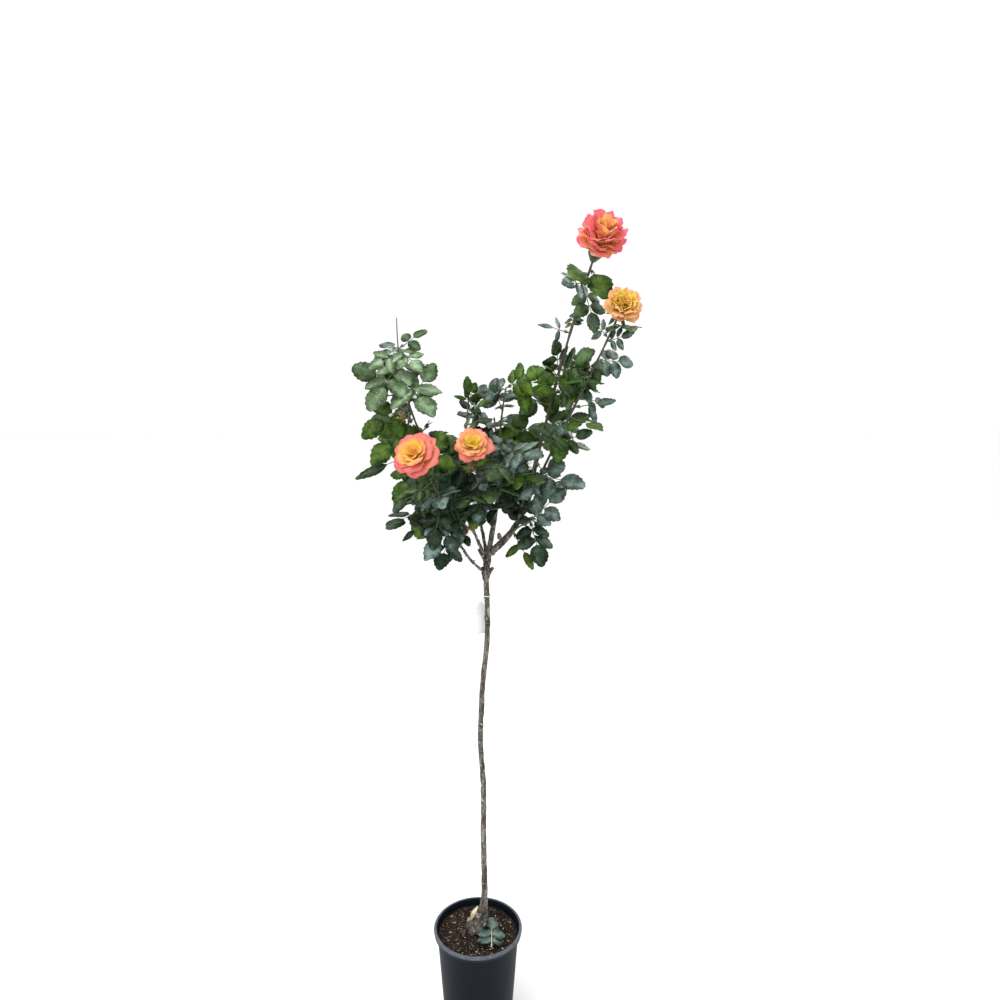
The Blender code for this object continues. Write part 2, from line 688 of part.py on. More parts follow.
def build_hip(base, foot_radius):
    """The swollen stem end and calyx under a bloom, as a bmesh."""
    way = base["axis"]
    hip = bmesh.new()
    bmesh.ops.create_cone(
        hip, cap_ends=True, segments=8, radius1=max(foot_radius, base["calyx"] * HIP_FOOT), radius2=base["calyx"],
        depth=HIP_LENGTH,
        matrix=facing(base["place"] - way * (HIP_LENGTH / 2 + CLEAR), way),
    )
    return hip


def build_shoot(name, shoot, line, base, home, cutters, taken):
    """One mass: its stem, its twigs, and every leaf that stands clear."""
    loose = collection(name + "_pieces")
    rng = random.Random(shoot["seed"])
    radii = taper(*shoot["radius"], len(line))
    stem = tube(name, line, radii, home, "leaf", 0)
    if base:
        mesh_object("hip", build_hip(base, radii[-1]), loose)
        bend = bmesh.new()
        bmesh.ops.create_icosphere(
            bend, subdivisions=1, radius=radii[-1] * 1.5, matrix=Matrix.Translation(line[-1])
        )
        mesh_object("bend", bend, loose)
    grown = 0
    for count, (share, heading, rise, size) in enumerate(shoot["reach"]):
        plans = reach_tries(shoot["seed"] * 100 + 50 + count, along(line, share), heading, rise, size)
        grown += add_leaf(name, plans, loose, taken)
    for count in range(shoot["twigs"]):
        share = 0.42 + 0.26 * count
        angle = shoot["turn"] + 150 + count * 170
        grown += add_twig(name, rng, line, share, angle, shoot["length"] * TWIG_SHARE * 0.6, loose, taken)
    for seed, foot, way, angle in stem_leaves(shoot["seed"], line, shoot["leaves"], shoot["span"], shoot["turn"]):
        grown += add_leaf(name, leaf_tries(seed, foot, way, angle), loose, taken)
    boolean(stem, "UNION", loose, "MANIFOLD")
    empty(loose)
    boolean(stem, "DIFFERENCE", cutters, "MANIFOLD")
    keep_largest(stem)
    helper(tube(name + "_clearance", line, [r + CLEAR for r in radii], cutters, "leaf", 0))
    print(name, "leaves", grown)
    return stem


def build_crown(home, cutters, bough_lines):
    """All blooms, then all shoots, each leaf kept off every limb, bloom and earlier leaf."""
    lines, bases, taken = {}, {}, []
    for name, shoot in SHOOTS.items():
        bough = bough_lines[shoot["bough"]]
        start = along(bough, shoot["at"]) - direction(bough, shoot["at"]) * 0.0015
        lines[name] = limb_line(start, shoot["heading"], shoot["rise"], shoot["length"])
    for name, bloom in BLOOMS.items():
        axis = compass(bloom["heading"], bloom["rise"])
        tip = lines[bloom["shoot"]][-1]
        place = tip + axis * (HIP_LENGTH + CLEAR)
        bases[bloom["shoot"]] = dict(place=place, axis=axis, calyx=bloom["calyx"])
        taken.append((name, tree_of(build_bloom(name, bloom, place, axis, home))))
        hip = build_hip(bases[bloom["shoot"]], SHOOTS[bloom["shoot"]]["radius"][1])
        taken.append((bloom["shoot"], BVHTree.FromBMesh(hip)))
        hip.free()
    for obj in cutters.objects:
        taken.append((obj.name, tree_of(obj)))
    for name, line in lines.items():
        wide = [r + CLEAR * 2 for r in taper(*SHOOTS[name]["radius"], len(line))]
        lean = tube("lean", line, wide, home, None, 0)
        taken.append((name, tree_of(lean)))
        bpy.data.objects.remove(lean)
    for name, line in lines.items():
        build_shoot(name, SHOOTS[name], line, bases.get(name), home, cutters, taken)


def build_fallen_leaf(home):
    """One leaf that lies on the soil, its leaflets a little propped."""
    rng = random.Random(71)
    foot = Vector((*FALLEN_LEAF["foot"], SOIL_LEVEL + 0.004))
    plan = leaf_plan(rng, foot, compass(FALLEN_LEAF["heading"], 20), FALLEN_LEAF["size"], 0.3)
    rachis, blades = leaf_pieces(plan)
    loose = collection("fallen_pieces")
    leaf = mesh_object("fallen_leaf", rachis, home, "leaf")
    for bm in blades:
        mesh_object("piece", bm, loose)
    boolean(leaf, "UNION", loose, "MANIFOLD")
    empty(loose)
    lowest = min((vert.co.z for vert in leaf.data.vertices))
    leaf.data.transform(Matrix.Translation((0, 0, SOIL_LEVEL + CLEAR - lowest)))


def main():
    clear_scene()
    home = collection("standard_rose")
    drains = collection("drain_cutters")
    limbs = collection("limb_clearance")
    build_pot(home, drains)
    build_soil(home)
    trunk_line = build_trunk(home, limbs)
    build_tag(home, trunk_line)
    bough_lines = build_boughs(home, limbs, trunk_line)
    build_crown(home, limbs, bough_lines)
    build_fallen_leaf(home)


main()
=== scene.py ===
import math
import random

import bpy
from mathutils import Matrix, Vector, noise
from mathutils.bvhtree import BVHTree


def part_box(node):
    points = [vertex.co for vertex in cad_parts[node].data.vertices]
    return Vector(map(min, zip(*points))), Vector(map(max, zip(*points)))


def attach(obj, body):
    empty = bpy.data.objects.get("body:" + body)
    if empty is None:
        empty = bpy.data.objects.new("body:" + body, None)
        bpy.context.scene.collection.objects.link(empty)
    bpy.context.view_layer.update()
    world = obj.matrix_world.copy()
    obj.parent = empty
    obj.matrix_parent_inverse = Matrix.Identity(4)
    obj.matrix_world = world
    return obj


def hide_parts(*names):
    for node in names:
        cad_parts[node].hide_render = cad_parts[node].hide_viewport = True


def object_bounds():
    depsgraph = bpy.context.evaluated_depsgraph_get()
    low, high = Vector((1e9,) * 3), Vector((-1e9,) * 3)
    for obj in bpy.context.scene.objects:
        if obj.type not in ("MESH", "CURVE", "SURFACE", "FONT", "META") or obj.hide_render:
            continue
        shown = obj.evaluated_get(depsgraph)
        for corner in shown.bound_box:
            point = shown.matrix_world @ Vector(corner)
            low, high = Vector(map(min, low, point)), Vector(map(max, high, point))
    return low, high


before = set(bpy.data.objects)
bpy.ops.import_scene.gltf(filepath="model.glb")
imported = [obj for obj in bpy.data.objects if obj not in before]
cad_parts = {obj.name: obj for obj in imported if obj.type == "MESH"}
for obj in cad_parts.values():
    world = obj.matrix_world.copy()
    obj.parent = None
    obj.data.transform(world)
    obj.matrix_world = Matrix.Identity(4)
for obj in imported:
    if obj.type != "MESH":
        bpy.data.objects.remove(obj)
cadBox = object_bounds()
print("stage: frame loaded,", len(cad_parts), "nodes")


# studio

studio = {
    "floor": (0.95, 0.95, 0.95),
    "world": (1.0, 1.0, 1.0),
    "worldStrength": 1.05,
    "lights": (
        # name, place, target, size, watts, colour
        ("overheadSoft", (-0.5, -0.5, 4.4), (0, 0, 1.2), 2.6, 60, (1.0, 0.99, 0.97)),
        ("keySoft", (-2.2, -2.6, 3.4), (0, 0, 1.3), 1.8, 45, (1.0, 0.98, 0.95)),
        ("backSoft", (1.8, 2.6, 2.9), (0, 0, 1.3), 2.0, 25, (0.95, 0.98, 1.0)),
    ),
    "camera": (0.0525, -1.6906, 1.5945),
    "pitch": 10.5,
    "lens": 28.8,
}


# small helpers that every piece uses

def deselectAll():
    if bpy.context.object and bpy.context.object.mode != "OBJECT":
        bpy.ops.object.mode_set(mode="OBJECT")
    bpy.ops.object.select_all(action="DESELECT")


def pick(obj):
    deselectAll()
    obj.select_set(True)
    bpy.context.view_layer.objects.active = obj


def named(name):
    obj = bpy.context.object
    obj.name = name
    obj.data.name = name
    return obj


def compass(heading, rise):
    h, r = math.radians(heading), math.radians(rise)
    return Vector((math.cos(h) * math.cos(r), math.sin(h) * math.cos(r), math.sin(r)))


def facing(place, way):
    return Matrix.Translation(place) @ way.to_track_quat("Z", "Y").to_matrix().to_4x4()


def along(line, share):
    place = share * (len(line) - 1)
    step = min(int(place), len(line) - 2)
    return line[step].lerp(line[step + 1], place - step)


def direction(line, share):
    step = min(int(share * (len(line) - 1)), len(line) - 2)
    return (line[step + 1] - line[step]).normalized()


def smoothLine(points, perSpan):
    # a curve that passes through every point
    ends = [points[0] * 2 - points[1], *points, points[-1] * 2 - points[-2]]
    line = []
    for a, b, c, d in zip(ends, ends[1:], ends[2:], ends[3:]):
        for step in range(perSpan):
            t = step / perSpan
            line.append(
                0.5 * (2 * b + (c - a) * t + (2 * a - 5 * b + 4 * c - d) * t**2 + (3 * b - a - 3 * c + d) * t**3)
            )
    return [*line, points[-1]]


# heaps: many small shapes gathered in lists, then made one mesh

def newHeap():
    return {"points": [], "faces": [], "uvs": [], "slots": []}


def pour(heap, points, faces, uvs, slots=0):
    start = len(heap["points"])
    heap["points"] += [tuple(point) for point in points]
    heap["faces"] += [tuple(start + corner for corner in face) for face in faces]
    heap["uvs"] += uvs
    heap["slots"] += slots if isinstance(slots, list) else [slots] * len(faces)


def heapToPiece(name, heap, paints, smooth=True):
    mesh = bpy.data.meshes.new(name)
    mesh.from_pydata(heap["points"], [], heap["faces"])
    layer = mesh.uv_layers.new(name="ownUV")
    corners = [0] * len(mesh.loops)
    mesh.loops.foreach_get("vertex_index", corners)
    layer.data.foreach_set("uv", [value for corner in corners for value in heap["uvs"][corner]])
    for paint in paints:
        mesh.materials.append(paint)
    mesh.polygons.foreach_set("material_index", heap["slots"])
    mesh.polygons.foreach_set("use_smooth", [smooth] * len(mesh.polygons))
    mesh.validate()
    mesh.update()
    obj = bpy.data.objects.new(name, mesh)
    bpy.context.scene.collection.objects.link(obj)
    return obj


def tubeInto(heap, line, radii, sides, slot=0, twist=0.0):
    # a round stalk along a line, closed at both ends
    points, uvs, faces = [], [], []
    up = Vector((0.13, 0.21, 0.97)).normalized()
    travelled = 0.0
    for step, (place, radius) in enumerate(zip(line, radii)):
        way = (line[min(step + 1, len(line) - 1)] - line[max(step - 1, 0)]).normalized()
        if step:
            travelled += (place - line[step - 1]).length
        across = way.cross(up)
        across = across.normalized() if across.length > 1e-4 else way.orthogonal().normalized()
        up = across.cross(way).normalized()
        for side in range(sides):
            angle = 2 * math.pi * side / sides + twist
            points.append(place + (across * math.cos(angle) + up * math.sin(angle)) * radius)
            uvs.append((side / sides, travelled * 10))
    for ring in range(len(line) - 1):
        for side in range(sides):
            a, b = ring * sides + side, ring * sides + (side + 1) % sides
            faces.append((a, b, b + sides, a + sides))
    faces.append(tuple(reversed(range(sides))))
    faces.append(tuple(range((len(line) - 1) * sides, len(line) * sides)))
    pour(heap, points, faces, uvs, slot)


# paints

def addNode(tree, kind, inputs=None, **settings):
    node = tree.nodes.new(kind)
    for key, value in settings.items():
        setattr(node, key, value)
    for socket, value in (inputs or {}).items():
        if isinstance(value, bpy.types.NodeSocket):
            tree.links.new(value, node.inputs[socket])
        else:
            node.inputs[socket].default_value = value
    return node


def startPaint(name, colour, roughness, specular=0.5, coat=0.0, coatRoughness=0.2, sheen=0.0):
    paint = bpy.data.materials.new(name)
    paint.use_nodes = True
    tree = paint.node_tree
    shader = tree.nodes["Principled BSDF"]
    shader.inputs["Base Color"].default_value = (*colour, 1)
    shader.inputs["Roughness"].default_value = roughness
    shader.inputs["Specular IOR Level"].default_value = specular
    shader.inputs["Coat Weight"].default_value = coat
    shader.inputs["Coat Roughness"].default_value = coatRoughness
    shader.inputs["Sheen Weight"].default_value = sheen
    return paint, tree, shader


def objectPoints(tree, scale=(1, 1, 1)):
    coords = addNode(tree, "ShaderNodeTexCoord")
    return addNode(tree, "ShaderNodeMapping", {"Vector": coords.outputs["Object"], "Scale": scale}).outputs[0]


def math2(tree, operation, a, b=0.0):
    return addNode(tree, "ShaderNodeMath", {0: a, 1: b}, operation=operation).outputs[0]


def ramp(tree, factor, stops):
    node = addNode(tree, "ShaderNodeValToRGB", {"Fac": factor})
    band = node.color_ramp
    while len(band.elements) < len(stops):
        band.elements.new(0.5)
    for element, (place, colour) in zip(band.elements, stops):
        element.position = place
        element.color = (*colour, 1) if len(colour) == 3 else colour
    return node.outputs["Color"]


def blendColours(tree, factor, a, b, kind="MIX"):
    node = addNode(tree, "ShaderNodeMix", data_type="RGBA", blend_type=kind)
    for socket, value in ((0, factor), (6, a), (7, b)):
        if isinstance(value, bpy.types.NodeSocket):
            tree.links.new(value, node.inputs[socket])
        else:
            node.inputs[socket].default_value = (*value, 1) if isinstance(value, tuple) else value
    return node.outputs[2]


def bumpFrom(tree, shader, height, strength, distance):
    bump = addNode(tree, "ShaderNodeBump", {"Height": height, "Strength": strength, "Distance": distance})
    tree.links.new(bump.outputs[0], shader.inputs["Normal"])


leafLook = {
    "veinPairs": 8.0,
    "veinSlant": 0.42,
    "veinDepth": 0.0005,
    "mottleScale": 90.0,
    "patchScale": 22.0,
    "glintScale": 420.0,
}


def leafPaint(name, colour, light, dark, ribColour, roughness, specular, coat):
    # colour with lighter and darker mottling, pale specks as painted glints, and a faint midrib and side veins pressed
    # in
    look = leafLook
    paint, tree, shader = startPaint(name, colour, roughness, specular, coat, 0.30)
    uv = addNode(tree, "ShaderNodeSeparateXYZ", {0: addNode(tree, "ShaderNodeUVMap", uv_map="ownUV").outputs[0]})
    side = math2(tree, "MULTIPLY", math2(tree, "ABSOLUTE", math2(tree, "SUBTRACT", uv.outputs[0], 0.5)), 2.0)
    rib = ramp(tree, side, ((0.0, (1, 1, 1)), (0.05, (0, 0, 0))))
    slanted = math2(tree, "SUBTRACT", uv.outputs[1], math2(tree, "MULTIPLY", side, look["veinSlant"]))
    phase = math2(tree, "FRACT", math2(tree, "MULTIPLY", slanted, look["veinPairs"]))
    vein = ramp(tree, phase, ((0.0, (1, 1, 1)), (0.10, (0.1, 0.1, 0.1)), (0.5, (0, 0, 0)), (0.95, (0.2, 0.2, 0.2)), (1.0, (1, 1, 1))))
    cloud = addNode(tree, "ShaderNodeTexNoise", {"Vector": objectPoints(tree), "Scale": look["mottleScale"], "Detail": 3.0})
    patches = addNode(tree, "ShaderNodeTexNoise", {"Vector": objectPoints(tree), "Scale": look["patchScale"], "Detail": 2.0})
    tone = math2(tree, "ADD", math2(tree, "MULTIPLY", cloud.outputs["Fac"], 0.45), math2(tree, "MULTIPLY", patches.outputs["Fac"], 0.55))
    mottled = ramp(tree, tone, ((0.41, dark), (0.51, colour), (0.60, light)))
    # pale specks lifted from the lighter colour: painted glints
    paintedGlints = addNode(tree, "ShaderNodeTexNoise", {"Vector": objectPoints(tree), "Scale": look["glintScale"], "Detail": 1.0})
    glintSpeckled = blendColours(tree, ramp(tree, paintedGlints.outputs["Fac"], ((0.62, (0, 0, 0)), (0.70, (0.55, 0.55, 0.55)))), mottled, tuple(value * 1.5 + 0.03 for value in light))
    veined = blendColours(tree, math2(tree, "MULTIPLY", vein, 0.24), glintSpeckled, ribColour)
    tree.links.new(blendColours(tree, math2(tree, "MULTIPLY", rib, 0.55), veined, ribColour), shader.inputs["Base Color"])
    height = math2(tree, "SUBTRACT", math2(tree, "MULTIPLY", cloud.outputs["Fac"], 0.5), math2(tree, "MAXIMUM", rib, vein))
    bumpFrom(tree, shader, height, 0.55, look["veinDepth"])
    return paint


leafPaints = {
    # for each tint: upper face, lighter spots, darker spots, midrib, underside, roughness, specular, coat
    "deep": ((0.012, 0.034, 0.013), (0.042, 0.087, 0.047), (0.004, 0.011, 0.004), (0.040, 0.080, 0.034), (0.030, 0.066, 0.020), 0.40, 0.20, 0.06),
    # the blue tint is partly the leaf's own blue-green, partly a painted sky sheen on the upper face
    "blueAndPaintedSheen": ((0.063, 0.116, 0.090), (0.190, 0.280, 0.249), (0.014, 0.036, 0.024), (0.120, 0.180, 0.130), (0.066, 0.122, 0.056), 0.38, 0.40, 0.22),
    "mid": ((0.035, 0.081, 0.019), (0.084, 0.151, 0.051), (0.012, 0.034, 0.008), (0.075, 0.130, 0.040), (0.050, 0.115, 0.018), 0.42, 0.30, 0.10),
    "fresh": ((0.110, 0.194, 0.084), (0.263, 0.389, 0.226), (0.046, 0.090, 0.030), (0.200, 0.300, 0.140), (0.120, 0.205, 0.066), 0.45, 0.35, 0.15),
    "lime": ((0.056, 0.125, 0.008), (0.106, 0.202, 0.025), (0.020, 0.052, 0.003), (0.085, 0.150, 0.020), (0.078, 0.165, 0.010), 0.50, 0.22, 0.04),
}

paintCache = {}


def leafPair(tint):
    if tint not in paintCache:
        upper, light, dark, rib, under, roughness, specular, coat = leafPaints[tint]
        paler = tuple(min(1, value * 1.35) for value in under)
        darker = tuple(value * 0.6 for value in under)
        paintCache[tint] = [
            leafPaint("leaf_" + tint, upper, light, dark, rib, roughness, specular, coat),
            leafPaint("underleaf_" + tint, under, paler, darker, paler, 0.62, 0.2, 0.0),
        ]
    return paintCache[tint]


def makeCanePaint(name, colour, green, dark, roughness):
    paint, tree, shader = startPaint(name, colour, roughness, 0.4, 0.08, 0.4)
    streaks = addNode(tree, "ShaderNodeTexNoise", {"Vector": objectPoints(tree, (220, 220, 28)), "Scale": 1.0, "Detail": 4.0})
    blotch = addNode(tree, "ShaderNodeTexNoise", {"Vector": objectPoints(tree), "Scale": 18.0, "Detail": 2.0})
    base = ramp(tree, blotch.outputs["Fac"], ((0.36, green), (0.62, colour)))
    lined = blendColours(tree, ramp(tree, streaks.outputs["Fac"], ((0.42, (0, 0, 0)), (0.75, (0.7, 0.7, 0.7)))), base, dark)
    tree.links.new(lined, shader.inputs["Base Color"])
    bumpFrom(tree, shader, streaks.outputs["Fac"], 0.4, 0.0006)
    return paint


def makeBarkPaint():
    look = {"fissure": (110, 110, 26), "flake": 150.0, "lichen": 130.0}
    paint, tree, shader = startPaint("oldBark", (0.15, 0.135, 0.115), 0.88, 0.12)
    fissures = addNode(tree, "ShaderNodeTexNoise", {"Vector": objectPoints(tree, look["fissure"]), "Scale": 1.0, "Detail": 6.0, "Roughness": 0.65})
    flakes = addNode(tree, "ShaderNodeTexVoronoi", {"Vector": objectPoints(tree, (1, 1, 0.45)), "Scale": look["flake"]}, feature="DISTANCE_TO_EDGE")
    lichen = addNode(tree, "ShaderNodeTexNoise", {"Vector": objectPoints(tree), "Scale": look["lichen"], "Detail": 5.0})
    body = ramp(tree, fissures.outputs["Fac"], ((0.34, (0.030, 0.026, 0.022)), (0.50, (0.125, 0.113, 0.097)), (0.66, (0.30, 0.28, 0.25))))
    edged = blendColours(tree, ramp(tree, flakes.outputs["Distance"], ((0.0, (0.75, 0.75, 0.75)), (0.12, (0, 0, 0)))), body, (0.030, 0.026, 0.022))
    pale = blendColours(tree, ramp(tree, lichen.outputs["Fac"], ((0.58, (0, 0, 0)), (0.68, (0.8, 0.8, 0.8)))), edged, (0.46, 0.45, 0.40))
    tree.links.new(pale, shader.inputs["Base Color"])
    height = math2(tree, "ADD", fissures.outputs["Fac"], math2(tree, "MULTIPLY", flakes.outputs["Distance"], 0.8))
    bumpFrom(tree, shader, height, 0.75, 0.0016)
    return paint


def petalPaint(name, stops, backTint, roughness=0.5):
    # colour runs from the petal's claw, darkened there as painted shade, to its rim, with fine streaks along it
    paint, tree, shader = startPaint(name, stops[-1][1], roughness, 0.15, 0.0, 0.3, 0.05)
    uv = addNode(tree, "ShaderNodeUVMap", uv_map="ownUV").outputs[0]
    parts = addNode(tree, "ShaderNodeSeparateXYZ", {0: uv})
    stretched = addNode(tree, "ShaderNodeMapping", {"Vector": uv, "Scale": (26.0, 2.2, 1.0)}).outputs[0]
    streaks = addNode(tree, "ShaderNodeTexNoise", {"Vector": stretched, "Scale": 1.0, "Detail": 3.0})
    cloud = addNode(tree, "ShaderNodeTexNoise", {"Vector": objectPoints(tree), "Scale": 70.0, "Detail": 2.0})
    shifted = math2(tree, "ADD", parts.outputs[1], math2(tree, "MULTIPLY", math2(tree, "SUBTRACT", streaks.outputs["Fac"], 0.5), 0.22))
    wandering = math2(tree, "ADD", shifted, math2(tree, "MULTIPLY", math2(tree, "SUBTRACT", cloud.outputs["Fac"], 0.5), 0.18))
    body = ramp(tree, wandering, stops)
    veined = blendColours(tree, ramp(tree, streaks.outputs["Fac"], ((0.50, (0, 0, 0)), (0.72, (0.55, 0.55, 0.55)))), body, backTint)
    tree.links.new(veined, shader.inputs["Base Color"])
    bumpFrom(tree, shader, streaks.outputs["Fac"], 0.6, 0.0010)
    return paint


def makePotPaint():
    paint, tree, shader = startPaint("nurseryPlastic", (0.004, 0.007, 0.012), 0.50, 0.10)
    grain = addNode(tree, "ShaderNodeTexNoise", {"Vector": objectPoints(tree), "Scale": 900.0, "Detail": 2.0})
    scuffs = addNode(tree, "ShaderNodeTexNoise", {"Vector": objectPoints(tree, (9, 9, 60)), "Scale": 1.0, "Detail": 5.0})
    dustAndHighlightNoise = addNode(tree, "ShaderNodeTexNoise", {"Vector": objectPoints(tree), "Scale": 110.0, "Detail": 6.0, "Roughness": 0.8})
    # the top of the rolled rim turns a pale blue-grey: partly dust, partly a painted highlight where light catches the
    # rim
    spot = addNode(tree, "ShaderNodeSeparateXYZ", {0: objectPoints(tree)}).outputs
    width = math2(tree, "ADD", math2(tree, "MULTIPLY", spot[0], spot[0]), math2(tree, "MULTIPLY", spot[1], spot[1]))
    onRim = ramp(tree, math2(tree, "DIVIDE", width, 0.012), ((0.800, (0, 0, 0)), (0.825, (1, 1, 1))))
    upHigh = ramp(tree, math2(tree, "DIVIDE", spot[2], 0.25), ((0.962, (0, 0, 0)), (0.980, (1, 1, 1))))
    nearRim = math2(tree, "MULTIPLY", onRim, upHigh)
    dustAndRimHighlight = math2(tree, "MULTIPLY", ramp(tree, dustAndHighlightNoise.outputs["Fac"], ((0.30, (0.30, 0.30, 0.30)), (0.70, (1, 1, 1)))), nearRim)
    rubbed = blendColours(tree, ramp(tree, scuffs.outputs["Fac"], ((0.55, (0, 0, 0)), (0.85, (0.6, 0.6, 0.6)))), (0.003, 0.006, 0.011), (0.009, 0.013, 0.019))
    tree.links.new(blendColours(tree, math2(tree, "MULTIPLY", dustAndRimHighlight, 0.90), rubbed, (0.165, 0.185, 0.215)), shader.inputs["Base Color"])
    rough = addNode(tree, "ShaderNodeMapRange", {"Value": dustAndHighlightNoise.outputs["Fac"], "To Min": 0.42, "To Max": 0.64})
    tree.links.new(rough.outputs[0], shader.inputs["Roughness"])
    bumpFrom(tree, shader, math2(tree, "ADD", math2(tree, "MULTIPLY", grain.outputs["Fac"], 0.3), scuffs.outputs["Fac"]), 0.25, 0.0005)
    return paint


def earthPaint(name, dark, brown, pale, scale):
    paint, tree, shader = startPaint(name, brown, 0.95, 0.05)
    crumbs = addNode(tree, "ShaderNodeTexVoronoi", {"Vector": objectPoints(tree), "Scale": scale})
    cloud = addNode(tree, "ShaderNodeTexNoise", {"Vector": objectPoints(tree), "Scale": scale * 0.5, "Detail": 6.0, "Roughness": 0.7})
    tone = math2(tree, "ADD", math2(tree, "MULTIPLY", crumbs.outputs["Distance"], 0.5), math2(tree, "MULTIPLY", cloud.outputs["Fac"], 0.7))
    tree.links.new(ramp(tree, tone, ((0.30, dark), (0.58, brown), (0.80, pale))), shader.inputs["Base Color"])
    bumpFrom(tree, shader, tone, 0.8, 0.002)
    return paint


def grainyPaint(name, dark, light, roughness, scale, stretch=(1, 1, 1), depth=0.0005):
    paint, tree, shader = startPaint(name, light, roughness, 0.35)
    cloud = addNode(tree, "ShaderNodeTexNoise", {"Vector": objectPoints(tree, stretch), "Scale": scale, "Detail": 5.0})
    tree.links.new(ramp(tree, cloud.outputs["Fac"], ((0.32, dark), (0.66, light))), shader.inputs["Base Color"])
    bumpFrom(tree, shader, cloud.outputs["Fac"], 0.5, depth)
    return paint


# the nursery pot

potSizes = {
    "sides": 112,
    # outside from the foot up, over the rolled rim, and down the inside: radius and height
    "profile": (
        (0.0770, 0.0000), (0.0790, 0.0008), (0.0803, 0.0030), (0.0806, 0.0060), (0.0842, 0.0600),
        (0.0881, 0.1150), (0.0919, 0.1700), (0.0960, 0.2300), (0.0965, 0.2338), (0.0990, 0.2346),
        (0.1026, 0.2349), (0.1034, 0.2358), (0.1043, 0.2410), (0.1050, 0.2450), (0.1047, 0.2470),
        (0.1036, 0.2482), (0.1018, 0.2489), (0.1000, 0.2490), (0.0985, 0.2485), (0.0972, 0.2470),
        (0.0964, 0.2440), (0.0955, 0.2390), (0.0943, 0.2330), (0.0896, 0.1700), (0.0835, 0.0800),
        (0.0786, 0.0120), (0.0770, 0.0050), (0.0740, 0.0036),
    ),
    "drains": 6,
    "drainRadius": 0.0055,
    "drainRing": 0.0528,
}


def makePot():
    sizes = potSizes
    deselectAll()
    first = sizes["profile"][0]
    bpy.ops.mesh.primitive_circle_add(vertices=sizes["sides"], radius=first[0], fill_type="NGON", location=(0, 0, first[1]))
    pot = named("nurseryPot")
    bpy.ops.object.transform_apply(location=True, rotation=True, scale=True)
    bpy.ops.object.mode_set(mode="EDIT")
    bpy.ops.mesh.select_all(action="SELECT")
    last = first
    for ring in sizes["profile"][1:]:
        bpy.ops.mesh.extrude_region_move(TRANSFORM_OT_translate={"value": (0, 0, ring[1] - last[1])})
        bpy.ops.transform.resize(value=(ring[0] / last[0], ring[0] / last[0], 1), center_override=(0, 0, ring[1]))
        last = ring
    bpy.ops.mesh.select_all(action="SELECT")
    bpy.ops.mesh.normals_make_consistent(inside=False)
    bpy.ops.object.mode_set(mode="OBJECT")
    for hole in range(sizes["drains"]):
        way = compass(hole * 360 / sizes["drains"] + 15, 0) * sizes["drainRing"]
        bpy.ops.mesh.primitive_cylinder_add(vertices=24, radius=sizes["drainRadius"], depth=0.02, location=way)
        cutter = named("drainCutter")
        pick(pot)
        bpy.ops.object.modifier_add(type="BOOLEAN")
        step = pot.modifiers[-1]
        step.operation = "DIFFERENCE"
        step.object = cutter
        bpy.ops.object.modifier_apply(modifier=step.name)
        bpy.data.objects.remove(cutter)
    pick(pot)
    bpy.ops.object.shade_smooth_by_angle(angle=math.radians(40))
    pot.data.materials.append(makePotPaint())
    return pot


# the compost

soilSizes = {
    "level": 0.2285,
    "radius": 0.0936,
    "rings": 30,
    "sides": 72,
    "lumps": 0.0042,
    "heaped": 0.0065,  # how far the compost rises to the wall
    "crumbs": 2600,
    "fibres": 240,
    "chips": 130,
    "seed": 5,
}


def soilHeight(x, y):
    sizes = soilSizes
    rough = noise.fractal(Vector((x * 34, y * 34, 0.3)), 0.8, 2.1, 4)
    fine = noise.noise(Vector((x * 220, y * 220, 1.7)))
    mound = 0.005 * math.exp(-((x + 0.010) ** 2 + (y - 0.006) ** 2) / 0.0010)
    heaped = sizes["heaped"] * max(0, (math.hypot(x, y) - 0.055) / (sizes["radius"] - 0.055)) ** 1.4
    return sizes["level"] - 0.0022 + sizes["lumps"] * 0.42 * rough + 0.0009 * fine + mound + heaped


